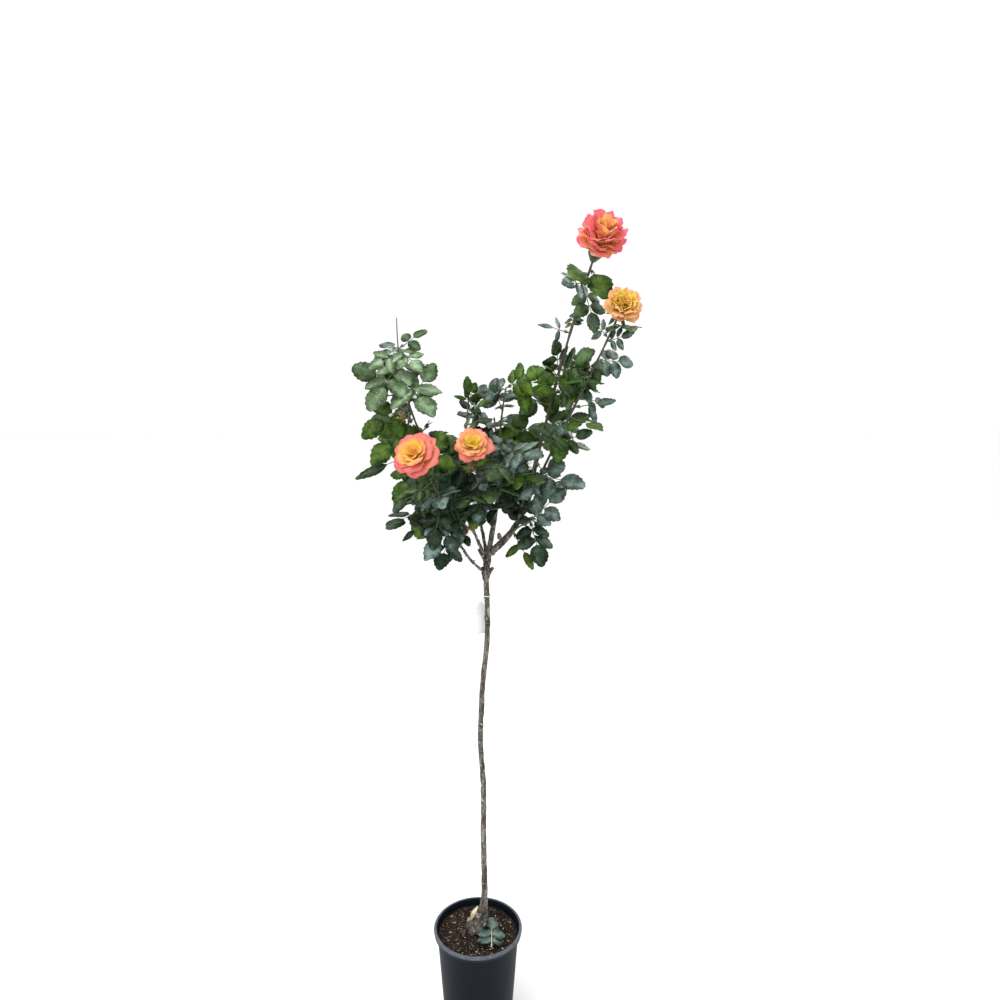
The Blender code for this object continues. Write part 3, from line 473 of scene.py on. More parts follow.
def makeCompost():
    sizes = soilSizes
    deselectAll()
    bpy.ops.mesh.primitive_circle_add(vertices=sizes["sides"], radius=sizes["radius"], fill_type="NGON", location=(0, 0, sizes["level"]))
    soil = named("compost")
    bpy.ops.object.transform_apply(location=True, rotation=True, scale=True)
    bpy.ops.object.mode_set(mode="EDIT")
    bpy.ops.mesh.select_all(action="SELECT")
    step = sizes["radius"] / (sizes["rings"] + 1)
    for _ in range(sizes["rings"]):
        bpy.ops.mesh.inset(thickness=step, depth=0)
    bpy.ops.mesh.poke()
    bpy.ops.object.mode_set(mode="OBJECT")
    for vert in soil.data.vertices:
        vert.co.z = soilHeight(vert.co.x, vert.co.y)
    # a skirt closes it to a solid plug down to the pot's floor
    bpy.ops.object.mode_set(mode="EDIT")
    bpy.ops.mesh.select_all(action="DESELECT")
    bpy.ops.mesh.select_non_manifold()
    for drop, shrink in ((0.10, 0.921), (0.12, 0.884)):
        bpy.ops.mesh.extrude_edges_move(TRANSFORM_OT_translate={"value": (0, 0, -drop)})
        bpy.ops.transform.resize(value=(shrink, shrink, 1), center_override=(0, 0, 0))
    bpy.ops.mesh.edge_face_add()
    bpy.ops.mesh.select_all(action="SELECT")
    bpy.ops.mesh.normals_make_consistent(inside=False)
    bpy.ops.object.mode_set(mode="OBJECT")
    bpy.ops.object.shade_smooth()
    soil.data.materials.append(earthPaint("darkCompost", (0.005, 0.004, 0.003), (0.016, 0.011, 0.009), (0.060, 0.044, 0.036), 300.0))

    rng = random.Random(sizes["seed"])
    crumbs, litter = newHeap(), newHeap()
    box = [Vector((x, y, z)) for x in (-1, 1) for y in (-1, 1) for z in (-1, 1)]
    boxFaces = [(0, 1, 3, 2), (4, 6, 7, 5), (0, 4, 5, 1), (2, 3, 7, 6), (0, 2, 6, 4), (1, 5, 7, 3)]
    for grain in range(sizes["crumbs"]):
        far = (sizes["radius"] - 0.004) * math.sqrt(rng.random())
        place = compass(rng.uniform(0, 360), 0) * far
        size = rng.uniform(0.0009, 0.0021) * (1.5 if rng.random() < 0.08 else 1)
        turn = Matrix.Rotation(rng.uniform(0, 6.28), 3, "Z") @ Matrix.Rotation(rng.uniform(-0.8, 0.8), 3, "X")
        stretch = Vector((rng.uniform(0.6, 1.5), rng.uniform(0.5, 1.1), rng.uniform(0.4, 0.9)))
        middle = Vector((place.x, place.y, soilHeight(place.x, place.y) + size * 0.15))
        corners = [
            middle + turn @ Vector(c * s * rng.uniform(0.6, 1.0) for c, s in zip(corner, stretch)) * size for corner in box
        ]
        pour(crumbs, corners, boxFaces, [(0, 0)] * 8, 0 if rng.random() < 0.92 else 1)
    for shred in range(sizes["fibres"]):
        far = (sizes["radius"] - 0.006) * math.sqrt(rng.random())
        place = compass(rng.uniform(0, 360), 0) * far
        way = compass(rng.uniform(0, 360), 0)
        length = rng.uniform(0.003, 0.010)
        bend = way.cross(Vector((0, 0, 1))) * rng.uniform(-0.4, 0.4) * length
        line = []
        for share in (-0.5, -0.15, 0.2, 0.5):
            spot = place + way * length * share + bend * (share * share * 4)
            lift = 0.0006 + 0.0016 * rng.random()
            line.append(Vector((spot.x, spot.y, soilHeight(spot.x, spot.y) + lift)))
        thick = rng.uniform(0.00015, 0.00035)
        tubeInto(litter, line, [thick, thick * 1.3, thick * 1.2, thick * 0.6], 3, rng.choice((0, 0, 1)))
    for chip in range(sizes["chips"]):
        far = (sizes["radius"] - 0.008) * math.sqrt(rng.random())
        place = compass(rng.uniform(0, 360), 0) * far
        turn = Matrix.Rotation(rng.uniform(0, 6.28), 3, "Z") @ Matrix.Rotation(rng.uniform(-0.6, 0.6), 3, "X")
        stretch = Vector((rng.uniform(1.2, 3.0), rng.uniform(0.6, 1.3), 0.35)) * rng.uniform(0.0007, 0.0015)
        middle = Vector((place.x, place.y, soilHeight(place.x, place.y) + 0.0012))
        corners = [middle + turn @ Vector(c * s * rng.uniform(0.5, 1.0) for c, s in zip(corner, stretch)) for corner in box]
        pour(litter, corners, boxFaces, [(0, 0)] * 8, rng.choice((0, 1, 2)))
    crumbPiece = heapToPiece("compostCrumbs", crumbs, [
        earthPaint("crumbDark", (0.006, 0.004, 0.003), (0.020, 0.014, 0.011), (0.070, 0.054, 0.044), 420.0),
        earthPaint("crumbBark", (0.022, 0.013, 0.010), (0.075, 0.050, 0.038), (0.240, 0.190, 0.150), 380.0),
    ], smooth=False)
    litterPiece = heapToPiece("compostLitter", litter, [
        grainyPaint("strawFibre", (0.24, 0.18, 0.12), (0.52, 0.45, 0.35), 0.8, 300.0),
        grainyPaint("darkFibre", (0.10, 0.055, 0.030), (0.24, 0.15, 0.09), 0.85, 300.0),
        grainyPaint("paleGrit", (0.50, 0.48, 0.42), (0.80, 0.78, 0.72), 0.8, 400.0),
    ], smooth=False)
    return soil, crumbPiece, litterPiece


# stem and boughs, in one skin of rough bark

stemSizes = {
    "soilLevel": 0.229,
    "clear": 0.0003,
    "foot": (-0.006, 0.011),
    "radius": 0.0060,
    "rootRadius": 0.0180,
    "sway": (
        (0.250, 0.000, 0.011), (0.285, 0.012, 0.011), (0.330, 0.016, 0.010), (0.470, 0.014, 0.009),
        (0.615, 0.014, 0.007), (0.705, 0.008, 0.006), (0.790, 0.010, 0.004), (0.880, 0.015, 0.002),
        (0.965, 0.024, 0.001), (1.060, 0.024, 0.000), (1.119, 0.022, 0.000), (1.160, 0.026, 0.002),
    ),
    "scars": (0.430, 0.560, 0.690, 0.742, 0.868, 0.925),
    "graft": (1.119, 0.0105),
    "head": (1.152, 0.0095),
    "voxel": 0.0012,
}

boughs = {
    "bough_right": dict(at=1.155, heading=(8, 18), rise=(35, 73), length=0.164, radius=(0.0080, 0.0054)),
    "bough_centre": dict(at=1.158, heading=(60, 52), rise=(66, 78), length=0.118, radius=(0.0064, 0.0044)),
    "bough_back": dict(at=1.150, heading=(99, 112), rise=(40, 60), length=0.131, radius=(0.0044, 0.0032)),
    "bough_left_up": dict(at=1.146, heading=(164, 162), rise=(61, 76), length=0.153, radius=(0.0036, 0.0028)),
    "bough_left_low": dict(at=1.119, heading=(204, 232), rise=(36, 73), length=0.145, radius=(0.0036, 0.0028)),
}


def limbLine(start, heading, rise, length, steps=8):
    line = [start.copy()]
    for step in range(steps):
        share = (step + 0.5) / steps
        way = compass(heading[0] + (heading[1] - heading[0]) * share, rise[0] + (rise[1] - rise[0]) * share)
        line.append(line[-1] + way * length / steps)
    return line


def stemLine():
    sizes = stemSizes
    foot = Vector((*sizes["foot"], sizes["soilLevel"] + sizes["clear"]))
    sway = [Vector((x, y, height)) for height, x, y in sizes["sway"]]
    return [foot, *smoothLine([foot + Vector((0, 0, 0.012)), *sway], 3)]


def stemRadius(height):
    sizes = stemSizes
    above = height - sizes["soilLevel"]
    slim = sizes["radius"]
    radius = slim + 0.0012 * max(0, 1 - above / 0.5)
    radius += (sizes["rootRadius"] - slim) * math.exp(-((max(above - 0.018, 0) / 0.042) ** 2))
    for scar in sizes["scars"]:
        radius += 0.0011 * math.exp(-(((height - scar) / 0.006) ** 2))
    radius += (sizes["graft"][1] - slim) * math.exp(-(((height - sizes["graft"][0]) / 0.010) ** 2))
    radius += (sizes["head"][1] - slim) * math.exp(-(((height - sizes["head"][0]) / 0.014) ** 2))
    return radius


def curveTube(name, line, radii):
    # a path curve whose points are set to the limb's line, made round and then a mesh
    deselectAll()
    bpy.ops.curve.primitive_nurbs_path_add()
    limb = named(name)
    curve = limb.data
    curve.splines.clear()
    spline = curve.splines.new("POLY")
    spline.points.add(len(line) - 1)
    for point, place, radius in zip(spline.points, line, radii):
        point.co = (*place, 1.0)
        point.radius = radius
    curve.bevel_depth = 1.0
    curve.bevel_resolution = 4
    curve.use_fill_caps = True
    pick(limb)
    bpy.ops.object.convert(target="MESH")
    return bpy.context.object


stemCurve = stemLine()
boughLines = {}
for boughName, bough in boughs.items():
    boughStart = min(stemCurve, key=lambda point: abs(point.z - bough["at"]))
    boughLines[boughName] = limbLine(boughStart, bough["heading"], bough["rise"], bough["length"])

knots = (
    # rough swellings: place on the plant, radius, for the root stock, the graft and old pruning cuts
    ((-0.016, 0.006, 0.248), 0.0100), ((0.003, -0.003, 0.241), 0.0115), ((-0.014, 0.021, 0.242), 0.0095),
    ((0.009, 0.016, 0.262), 0.0085), ((0.000, 0.003, 0.272), 0.0080), ((0.012, 0.002, 0.252), 0.0080),
    ((-0.007, -0.001, 0.257), 0.0085), ((-0.022, 0.010, 0.239), 0.0085), ((0.006, 0.007, 0.288), 0.0074),
    ((0.012, 0.008, 0.310), 0.0074), ((-0.012, -0.006, 0.238), 0.0090),
    ((0.029, -0.003, 1.122), 0.0058), ((0.016, 0.004, 1.127), 0.0060), ((0.019, -0.005, 1.109), 0.0052),
    ((0.036, 0.004, 1.162), 0.0060), ((0.020, -0.004, 1.150), 0.0056),
)

stubs = (
    # short pruned ends: foot, tip, radius at foot and tip
    ((0.006, 0.011, 0.258), (-0.006, 0.007, 0.289), 0.0085, 0.0066),
    ((0.026, -0.001, 1.120), (0.037, -0.008, 1.132), 0.0048, 0.0040),
    ((0.052, 0.006, 1.196), (0.050, -0.008, 1.207), 0.0046, 0.0038),
    ((0.018, 0.006, 1.150), (0.006, 0.016, 1.168), 0.0044, 0.0036),
    ((-0.008, 0.010, 0.246), (-0.022, 0.004, 0.262), 0.0080, 0.0058),
)


def roughen(obj, layers, lowest=-1.0):
    # moves each point along its normal by layers of noise: size across, size along, depth
    normals = [vert.normal.copy() for vert in obj.data.vertices]
    for vert, normal in zip(obj.data.vertices, normals):
        place = vert.co
        push = 0.0
        for across, upward, depth, shift in layers:
            spot = Vector((place.x / across + shift, place.y / across, place.z / upward))
            push += depth * noise.noise(spot)
        vert.co = place + normal * push


def makeBark():
    parts = [curveTube("barkSkin", stemCurve, [stemRadius(point.z) for point in stemCurve])]
    for name, bough in boughs.items():
        line = smoothLine(boughLines[name], 3)
        first, last = bough["radius"]
        radii = [first + (last - first) * step / (len(line) - 1) for step in range(len(line))]
        radii[0] *= 0.9
        parts.append(curveTube(name + "_skin", line, radii))
    for foot, tip, wide, slim in stubs:
        foot, tip = Vector(foot), Vector(tip)
        parts.append(curveTube("stubSkin", [foot, foot.lerp(tip, 0.5), tip], [wide, (wide + slim) / 2, slim]))
    for place, radius in knots:
        deselectAll()
        bpy.ops.mesh.primitive_ico_sphere_add(subdivisions=3, radius=radius, location=place)
        parts.append(named("knotSkin"))
        bpy.ops.object.transform_apply(location=True, rotation=True, scale=True)
    deselectAll()
    for part in parts:
        part.select_set(True)
    bpy.context.view_layer.objects.active = parts[0]
    bpy.ops.object.join()
    bark = parts[0]
    bark.data.remesh_voxel_size = stemSizes["voxel"]
    bpy.ops.object.voxel_remesh()
    bpy.ops.object.modifier_add(type="SMOOTH")
    bark.modifiers[-1].factor = 0.5
    bark.modifiers[-1].iterations = 4
    bpy.ops.object.modifier_apply(modifier=bark.modifiers[-1].name)
    roughen(bark, (
        (0.0110, 0.0250, 0.0010, 0.0), (0.0040, 0.0180, 0.00075, 4.0), (0.0022, 0.0060, 0.00045, 9.0),
    ))
    for vert in bark.data.vertices:
        # the root stock is knobbier, and the graft a little too
        low = math.exp(-((vert.co.z - 0.245) / 0.035) ** 2)
        graft = math.exp(-((vert.co.z - 1.122) / 0.02) ** 2)
        lump = noise.noise(vert.co * 190) + 0.6 * noise.noise(vert.co * 420)
        outward = Vector((vert.co.x - 0.006, vert.co.y - 0.009, 0)) if vert.co.z < 0.6 else Vector((vert.co.x - 0.022, vert.co.y, 0))
        vert.co += outward.normalized() * lump * 0.0011 * (low + 0.7 * graft)
    bark.data.materials.clear()
    bark.data.materials.append(makeBarkPaint())
    pick(bark)
    bpy.ops.object.shade_smooth()
    return bark


freshCut = {"foot": (-0.0185, -0.0005, 0.267), "tip": (0.0000, 0.0020, 0.300), "width": 0.0105, "face": (-0.55, -0.65, 0.5)}


def makeCutFaces():
    # pale wood where a stub was pruned: discs that stand a hair proud, and one long fresh sliver
    faces = newHeap()
    for foot, tip, wide, slim in stubs[1:]:
        foot, tip = Vector(foot), Vector(tip)
        way = (tip - foot).normalized()
        place = tip + way * 0.0006
        across = way.orthogonal().normalized()
        up = way.cross(across)
        points, uvs = [place + way * 0.0005], [(0.5, 0.0)]
        sides = 14
        for share in (0.5, 0.98):
            for side in range(sides):
                angle = 2 * math.pi * side / sides
                points.append(place + (across * math.cos(angle) + up * math.sin(angle)) * slim * share)
                uvs.append((0.5, share))
        points.append(place - way * 0.003)
        uvs.append((0.5, 1.0))
        shape = []
        for side in range(sides):
            a, b = 1 + side, 1 + (side + 1) % sides
            shape += [(0, a, b), (a, a + sides, b + sides, b), (a + sides, 2 * sides + 1, b + sides)]
        pour(faces, points, shape, uvs, 1)
    foot, tip, face = Vector(freshCut["foot"]), Vector(freshCut["tip"]), Vector(freshCut["face"]).normalized()
    way = (tip - foot).normalized()
    length = (tip - foot).length
    leafletInto(faces, foot, way, face, length, freshCut["width"], random.Random(3), 0, 0, 0.6)
    tubeInto(faces, [foot - way * 0.002 - face * 0.003, foot + way * length * 0.45 - face * 0.004, tip - way * 0.008 - face * 0.003], [0.0042, 0.0050, 0.0020], 10, 2)
    return heapToPiece("prunedFaces", faces, [
        grainyPaint("creamWood", (0.70, 0.62, 0.34), (0.92, 0.88, 0.66), 0.7, 160.0),
        grainyPaint("greyWood", (0.16, 0.12, 0.08), (0.40, 0.33, 0.24), 0.8, 260.0),
        grainyPaint("pinkWood", (0.40, 0.26, 0.20), (0.66, 0.52, 0.44), 0.8, 200.0),
    ])


# canes, leaves and their rule

leafRule = {
    "size": 0.112,
    "leafletShare": 0.46,
    "leafletWidth": 0.72,
    "face": 0.65,
    "reachFace": 1.5,
    "turnStep": 137.5,
    "turns": (0, 24, -24, 48, -48, 80, -80),
    "threeShare": 0.48,
    "twigShare": 0.34,
}

shoots = {
    "shoot_tall": dict(
        bough="bough_right", at=1.0, heading=(12, -13), rise=(79, 72), length=0.506, radius=(0.0034, 0.0020),
        leaves=5, twigs=0, span=(0.30, 0.66), turn=50, seed=11,
        reach=(
            (0.91, 235, 5, 0.095), (0.90, -10, 0, 0.095), (0.89, -55, -60, 0.105), (0.75, 155, 10, 0.080),
            (0.50, -45, 45, 0.125), (0.60, 180, -60, 0.140), (0.87, -30, -30, 0.125),
        ),
    ),
    "shoot_outer": dict(
        bough="bough_right", at=0.80, heading=(-37, 21), rise=(64, 64), length=0.450, radius=(0.0030, 0.0018),
        leaves=3, twigs=0, span=(0.34, 0.66), turn=340, seed=12,
        reach=(
            (0.95, 170, 20, 0.115), (0.97, -75, 10, 0.100), (0.79, 25, 8, 0.095), (0.78, 180, -20, 0.095),
            (0.60, 45, 20, 0.085),
        ),
    ),
    "shoot_right_mid": dict(
        bough="bough_right", at=0.92, heading=(74, -27), rise=(69, 77), length=0.288, radius=(0.0028, 0.0016),
        leaves=6, twigs=0, span=(0.36, 0.96), turn=200, seed=13, reach=((1.0, -100, 60, 0.095), (0.60, 180, 0, 0.130)),
    ),
    "shoot_right_side": dict(
        bough="bough_right", at=0.60, heading=(-85, -10), rise=(52, 80), length=0.185, radius=(0.0026, 0.0016),
        leaves=4, twigs=0, span=(0.30, 0.90), turn=210, seed=14,
        reach=((0.98, 15, 50, 0.110), (0.7, -70, -60, 0.095), (0.50, 240, -30, 0.140), (0.85, 45, -30, 0.130)),
    ),
    "shoot_low_right": dict(
        bough="bough_right", at=0.40, heading=(-50, -44), rise=(37, 26), length=0.080, radius=(0.0022, 0.0014),
        leaves=2, twigs=0, span=(0.40, 0.95), turn=260, seed=15,
        reach=((0.35, -70, -65, 0.090), (0.9, 30, 65, 0.110)),
    ),
    "shoot_centre_top": dict(
        bough="bough_centre", at=1.0, heading=(-37, -37), rise=(91, 78), length=0.250, radius=(0.0028, 0.0014),
        leaves=3, twigs=0, span=(0.20, 0.80), turn=300, seed=16,
        reach=((0.97, 0, 10, 0.110), (0.99, 145, 10, 0.090), (1.0, -40, 35, 0.100)),
    ),
    "shoot_core": dict(
        bough="bough_centre", at=0.70, heading=(-87, -61), rise=(39, 78), length=0.197, radius=(0.0026, 0.0014),
        leaves=7, twigs=0, span=(0.22, 0.98), turn=0, seed=17, reach=(),
    ),
    "shoot_mid_bloom": dict(
        bough="bough_centre", at=0.50, heading=(-102, -118), rise=(36, 78), length=0.215, radius=(0.0028, 0.0020),
        leaves=6, twigs=0, span=(0.26, 0.84), turn=30, seed=18, reach=(),
    ),
    "shoot_mid_twig": dict(
        bough="bough_left_up", at=1.0, heading=(-47, -59), rise=(86, 80), length=0.212, radius=(0.0026, 0.0013),
        leaves=3, twigs=0, span=(0.12, 0.80), turn=160, seed=19,
        reach=((0.96, -70, 45, 0.065), (0.90, 45, -10, 0.075)),
    ),
    "shoot_left_spray": dict(
        bough="bough_left_up", at=0.80, heading=(161, 233), rise=(50, 90), length=0.440, radius=(0.0028, 0.0011),
        leaves=3, twigs=0, span=(0.40, 0.80), turn=70, seed=20,
        reach=(
            (0.72, -55, -20, 0.145), (0.76, 235, -20, 0.125), (0.60, 210, -25, 0.130), (0.47, 155, 15, 0.130),
            (0.34, 235, -30, 0.155), (0.25, 245, -50, 0.165), (0.86, -45, -10, 0.090), (0.84, 225, -5, 0.085),
            (0.80, 255, -15, 0.140), (0.66, 195, 50, 0.125), (0.52, 225, -15, 0.140),
        ),
    ),
    "shoot_left_bloom": dict(
        bough="bough_left_low", at=1.0, heading=(-111, -142), rise=(50, 62), length=0.170, radius=(0.0024, 0.0020),
        leaves=4, twigs=0, span=(0.25, 0.80), turn=230, seed=21,
        reach=((0.45, 240, -60, 0.105), (0.30, -30, -45, 0.140)),
    ),
    "shoot_low_left": dict(
        bough="bough_left_low", at=0.60, heading=(175, 182), rise=(39, 54), length=0.125, radius=(0.0022, 0.0013),
        leaves=3, twigs=0, span=(0.20, 0.98), turn=290, seed=22,
        reach=((0.36, 320, -10, 0.095), (0.30, 270, 0, 0.105)),
    ),
    "shoot_low_front": dict(
        bough="bough_left_up", at=0.45, heading=(-95, -150), rise=(20, 45), length=0.110, radius=(0.0020, 0.0013),
        leaves=4, twigs=0, span=(0.30, 0.98), turn=230, seed=26, reach=(),
    ),
    "shoot_back_left": dict(
        bough="bough_back", at=0.80, heading=(138, 161), rise=(34, 72), length=0.219, radius=(0.0026, 0.0014),
        leaves=6, twigs=0, span=(0.22, 0.98), turn=240, seed=23, reach=(),
    ),
    "shoot_back_right": dict(
        bough="bough_back", at=1.0, heading=(63, 4), rise=(45, 61), length=0.215, radius=(0.0026, 0.0014),
        leaves=3, twigs=1, span=(0.22, 0.98), turn=90, seed=24, reach=(),
    ),
    "shoot_back_top": dict(
        bough="bough_centre", at=0.85, heading=(64, 141), rise=(54, 85), length=0.213, radius=(0.0026, 0.0014),
        leaves=5, twigs=0, span=(0.24, 0.98), turn=330, seed=25, reach=(),
    ),
}

blooms = {
    "bloom_top": dict(shoot="shoot_tall", radius=0.054, heading=-60, rise=58, seed=31, calyx=0.0160),
    "bloom_yellow": dict(shoot="shoot_outer", radius=0.043, heading=-80, rise=35, seed=32, calyx=0.0080),
    "bloom_left": dict(shoot="shoot_left_bloom", radius=0.046, heading=-112, rise=35, seed=33, calyx=0.0080),
    "bloom_mid": dict(shoot="shoot_mid_bloom", radius=0.038, heading=-92, rise=38, seed=34, calyx=0.0095),
}
hipLength = 0.020

shootLines = {}
for shootName, shoot in shoots.items():
    onBough = boughLines[shoot["bough"]]
    shootStart = along(onBough, shoot["at"]) - direction(onBough, shoot["at"]) * 0.0015
    shootLines[shootName] = limbLine(shootStart, shoot["heading"], shoot["rise"], shoot["length"])


def roundStem(way, angle):
    flat = way.cross(Vector((0, 0, 1)))
    flat = flat.normalized() if flat.length > 1e-3 else Vector((1, 0, 0))
    return (Matrix.Rotation(math.radians(angle), 3, way) @ flat).normalized()


def leafPlan(rng, foot, out, size, face):
    rule = leafRule
    over = (out + Vector((0, 0, -rng.uniform(0.10, 0.45)))).normalized()
    end = foot + over * size * (1 - rule["leafletShare"])
    outward = Vector((over.x, over.y, 0)).normalized()
    tilt = Vector((rng.uniform(-0.5, 0.5), rng.uniform(-0.5, 0.5) - face, 0.8)) + outward * rng.uniform(0, 0.8)
    normal = (tilt - over * tilt.dot(over)).normalized()
    side = over.cross(normal)
    longest = size * rule["leafletShare"]
    droop = rng.uniform(0.1, 0.35)
    leaflets = [(end - over * 0.003, (over - normal * droop * 0.5).normalized(), normal, longest)]
    pairs = ((0.62, 0.94),) if rng.random() < rule["threeShare"] else ((0.34, 0.78), (0.72, 0.88))
    for share, scale in pairs:
        root = foot.lerp(end, share)
        for hand in (-1, 1):
            spread = math.radians(rng.uniform(66, 82))
            way = over * math.cos(spread) + side * hand * math.sin(spread) - normal * droop
            tip = normal + side * hand * rng.uniform(0.05, 0.3)
            leaflets.append((root, way.normalized(), tip.normalized(), longest * scale))
    return (foot, end, normal), leaflets


def leafTries(seed, foot, way, angle):
    for count, shift in enumerate(leafRule["turns"]):
        rng = random.Random(seed * 10 + count)
        lift = math.radians(rng.uniform(48, 68))
        out = way * math.cos(lift) + roundStem(way, angle + shift) * math.sin(lift)
        yield leafPlan(rng, foot, out, leafRule["size"] * rng.uniform(0.88, 1.10), leafRule["face"])


def reachTries(seed, foot, heading, rise, size):
    for count, shift in enumerate(leafRule["turns"][:5]):
        rng = random.Random(seed * 10 + count)
        yield leafPlan(rng, foot, compass(heading + shift * 0.4, rise + shift * 0.25), size, leafRule["reachFace"])


def treeOfNode(name):
    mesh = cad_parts[name].data
    return BVHTree.FromPolygons([vert.co for vert in mesh.vertices], [tuple(face.vertices) for face in mesh.polygons])


def grownPlan(tree, plans):
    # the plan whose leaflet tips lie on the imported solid: that is where the source grew this leaf
    best, bestShare = None, 0.0
    for plan in plans:
        tips = [root + way * length * 0.97 for root, way, normal, length in plan[1]]
        near = sum(1 for tip in tips if tree.find_nearest(tip, 0.0015)[0] is not None)
        if near / len(tips) > bestShare:
            best, bestShare = plan, near / len(tips)
    return best if bestShare > 0.6 else None


def leafTreeOf(plan):
    # the leaf as flat kites, to tell whether two leaves would meet
    points, faces = [], []
    for root, way, normal, length in plan[1]:
        side = way.cross(normal).normalized() * length * 0.32
        start = len(points)
        points += [root + way * length * 0.08, root + way * length * 0.42 + side, root + way * length * 0.98, root + way * length * 0.42 - side]
        faces.append((start, start + 1, start + 2, start + 3))
    return BVHTree.FromPolygons(points, faces)


grown = []  # every leaf as (shoot, plan, tint)
leafTrees = []
for bloomName in blooms:
    leafTrees.append(treeOfNode(bloomName))


def tintFor(shootName, plan, rng):
    # which spray a leaf belongs to decides its green; the blue tint carries a painted sky sheen
    middle = plan[0][1]
    if shootName == "shoot_left_spray":
        if middle.z > 1.60:
            return rng.choice(("blueAndPaintedSheen", "blueAndPaintedSheen", "mid"))
        if middle.z > 1.47:
            return rng.choice(("fresh", "fresh", "fresh", "fresh", "mid"))
        return rng.choice(("lime", "mid", "mid", "lime"))
    if middle.x > 0.10 and middle.z > 1.36:
        return rng.choice(("blueAndPaintedSheen", "lime", "mid", "mid", "blueAndPaintedSheen", "lime"))
    if middle.z > 1.40:
        return rng.choice(("blueAndPaintedSheen", "mid", "lime", "blueAndPaintedSheen", "deep"))
    return rng.choice(("deep", "blueAndPaintedSheen", "deep", "mid", "deep", "blueAndPaintedSheen", "deep", "lime"))


twigLines = []  # side twigs as (shoot, line, radii)


def seenAt(place):
    # where a place is seen from the front, in the plane of the stem
    eye = Vector(studio["camera"])
    return eye + (place - eye) * (-eye.y / (place.y - eye.y))


bareSpots = (
    # x, height and radius in the plane of the stem: the fork over the graft, and both sides of the tall cane
    (0.046, 1.166, 0.036), (0.150, 1.655, 0.027), (0.138, 1.600, 0.024), (0.240, 1.606, 0.016),
    (-0.004, 1.168, 0.018), (0.059, 1.208, 0.018), (0.292, 1.733, 0.018),
)


def coversBareSpot(plan):
    # the few leaves of the solids that would cover a bare place from the front are thinned out
    for root, way, normal, length in plan[1]:
        seen = seenAt(root + way * length * 0.5)
        if any(math.hypot(seen.x - x, seen.z - z) < radius for x, z, radius in bareSpots):
            return True
    return False


def growFromSource():
    # the same leaves as in the solids, found again by the source's rule
    for name, shoot in shoots.items():
        tree = treeOfNode(name)
        line = shootLines[name]
        rng = random.Random(shoot["seed"])
        tints = random.Random(shoot["seed"] + 700)
        plans = []
        for count, (share, heading, rise, size) in enumerate(shoot["reach"]):
            plans.append(grownPlan(tree, reachTries(shoot["seed"] * 100 + 50 + count, along(line, share), heading, rise, size)))
        for count in range(shoot["twigs"]):
            share = 0.42 + 0.26 * count
            angle = shoot["turn"] + 150 + count * 170
            length = shoot["length"] * leafRule["twigShare"] * 0.6
            way = direction(line, share)
            out = (way * 0.75 + roundStem(way, angle)).normalized()
            foot = along(line, share)
            bend = foot + out * length * 0.5
            tip = bend + (out + Vector((0, 0, 0.35))).normalized() * length * 0.5
            if tree.find_nearest(tip, 0.004)[0] is None:
                continue
            twigLines.append((name, smoothLine([foot, bend, tip], 5), (0.0018, 0.0013)))
            for number, (place, turn) in enumerate(((bend, 90), (tip, 200), (tip, 20))):
                seed = int(rng.uniform(1000, 9000)) + number
                ahead = (tip - bend).normalized()
                plans.append(grownPlan(tree, leafTries(seed, place - ahead * 0.001, ahead, angle + turn)))
        for leaf in range(shoot["leaves"]):
            share = shoot["span"][0] + (shoot["span"][1] - shoot["span"][0]) * leaf / max(1, shoot["leaves"] - 1)
            angle = shoot["turn"] + leaf * leafRule["turnStep"]
            plans.append(grownPlan(tree, leafTries(shoot["seed"] * 100 + leaf, along(line, share), direction(line, share), angle)))
        for plan in plans:
            if plan and not coversBareSpot(plan):
                grown.append((name, plan, tintFor(name, plan, tints)))
                leafTrees.append(leafTreeOf(plan))


def clearOfAll(plan):
    tree = leafTreeOf(plan)
    return not any(tree.overlap(other) for other in leafTrees)


growFromSource()
print("stage: leaves found in the solids,", len(grown))

finer = {
    # more leaves of the same rule between those of the solids: their size, and how many tries each
    # shoot makes between two shares of its length
    "size": (0.50, 0.80),
    "room": 0.012,
    "tries": {
        "shoot_tall": (7, 0.46, 0.74), "shoot_outer": (6, 0.44, 0.74), "shoot_right_mid": (6, 0.55, 0.98),
        "shoot_right_side": (6, 0.10, 0.96), "shoot_low_right": (3, 0.20, 0.96), "shoot_centre_top": (6, 0.40, 0.98),
        "shoot_core": (10, 0.08, 0.98), "shoot_mid_bloom": (9, 0.08, 0.84), "shoot_mid_twig": (4, 0.30, 0.98),
        "shoot_left_spray": (15, 0.10, 0.90), "shoot_left_bloom": (8, 0.06, 0.84), "shoot_low_left": (7, 0.10, 0.98),
        "shoot_low_front": (6, 0.15, 0.98), "shoot_back_left": (10, 0.12, 0.98), "shoot_back_right": (10, 0.12, 0.98),
        "shoot_back_top": (10, 0.12, 0.98),
    },
}


openSky = (
    # x and height, in the plane of the stem, and radius: gaps in the crown as seen from the front
    (0.207, 1.320, 0.024), (0.145, 1.165, 0.034), (-0.105, 1.160, 0.032), (0.250, 1.540, 0.022),
    (0.290, 1.560, 0.020), (0.160, 1.625, 0.022), (-0.090, 1.560, 0.018), (0.245, 1.450, 0.034),
    (-0.155, 1.235, 0.034), (0.100, 1.565, 0.022), (-0.190, 1.370, 0.022), (-0.060, 1.465, 0.030),
    (0.160, 1.265, 0.024), (0.020, 1.545, 0.022), (0.050, 1.160, 0.060), (0.115, 1.205, 0.022),
    (-0.015, 1.345, 0.012), (0.035, 1.285, 0.012), (0.052, 1.240, 0.012), (0.115, 1.440, 0.030),
    (0.147, 1.660, 0.028), (0.138, 1.594, 0.026), (0.240, 1.606, 0.018),
)


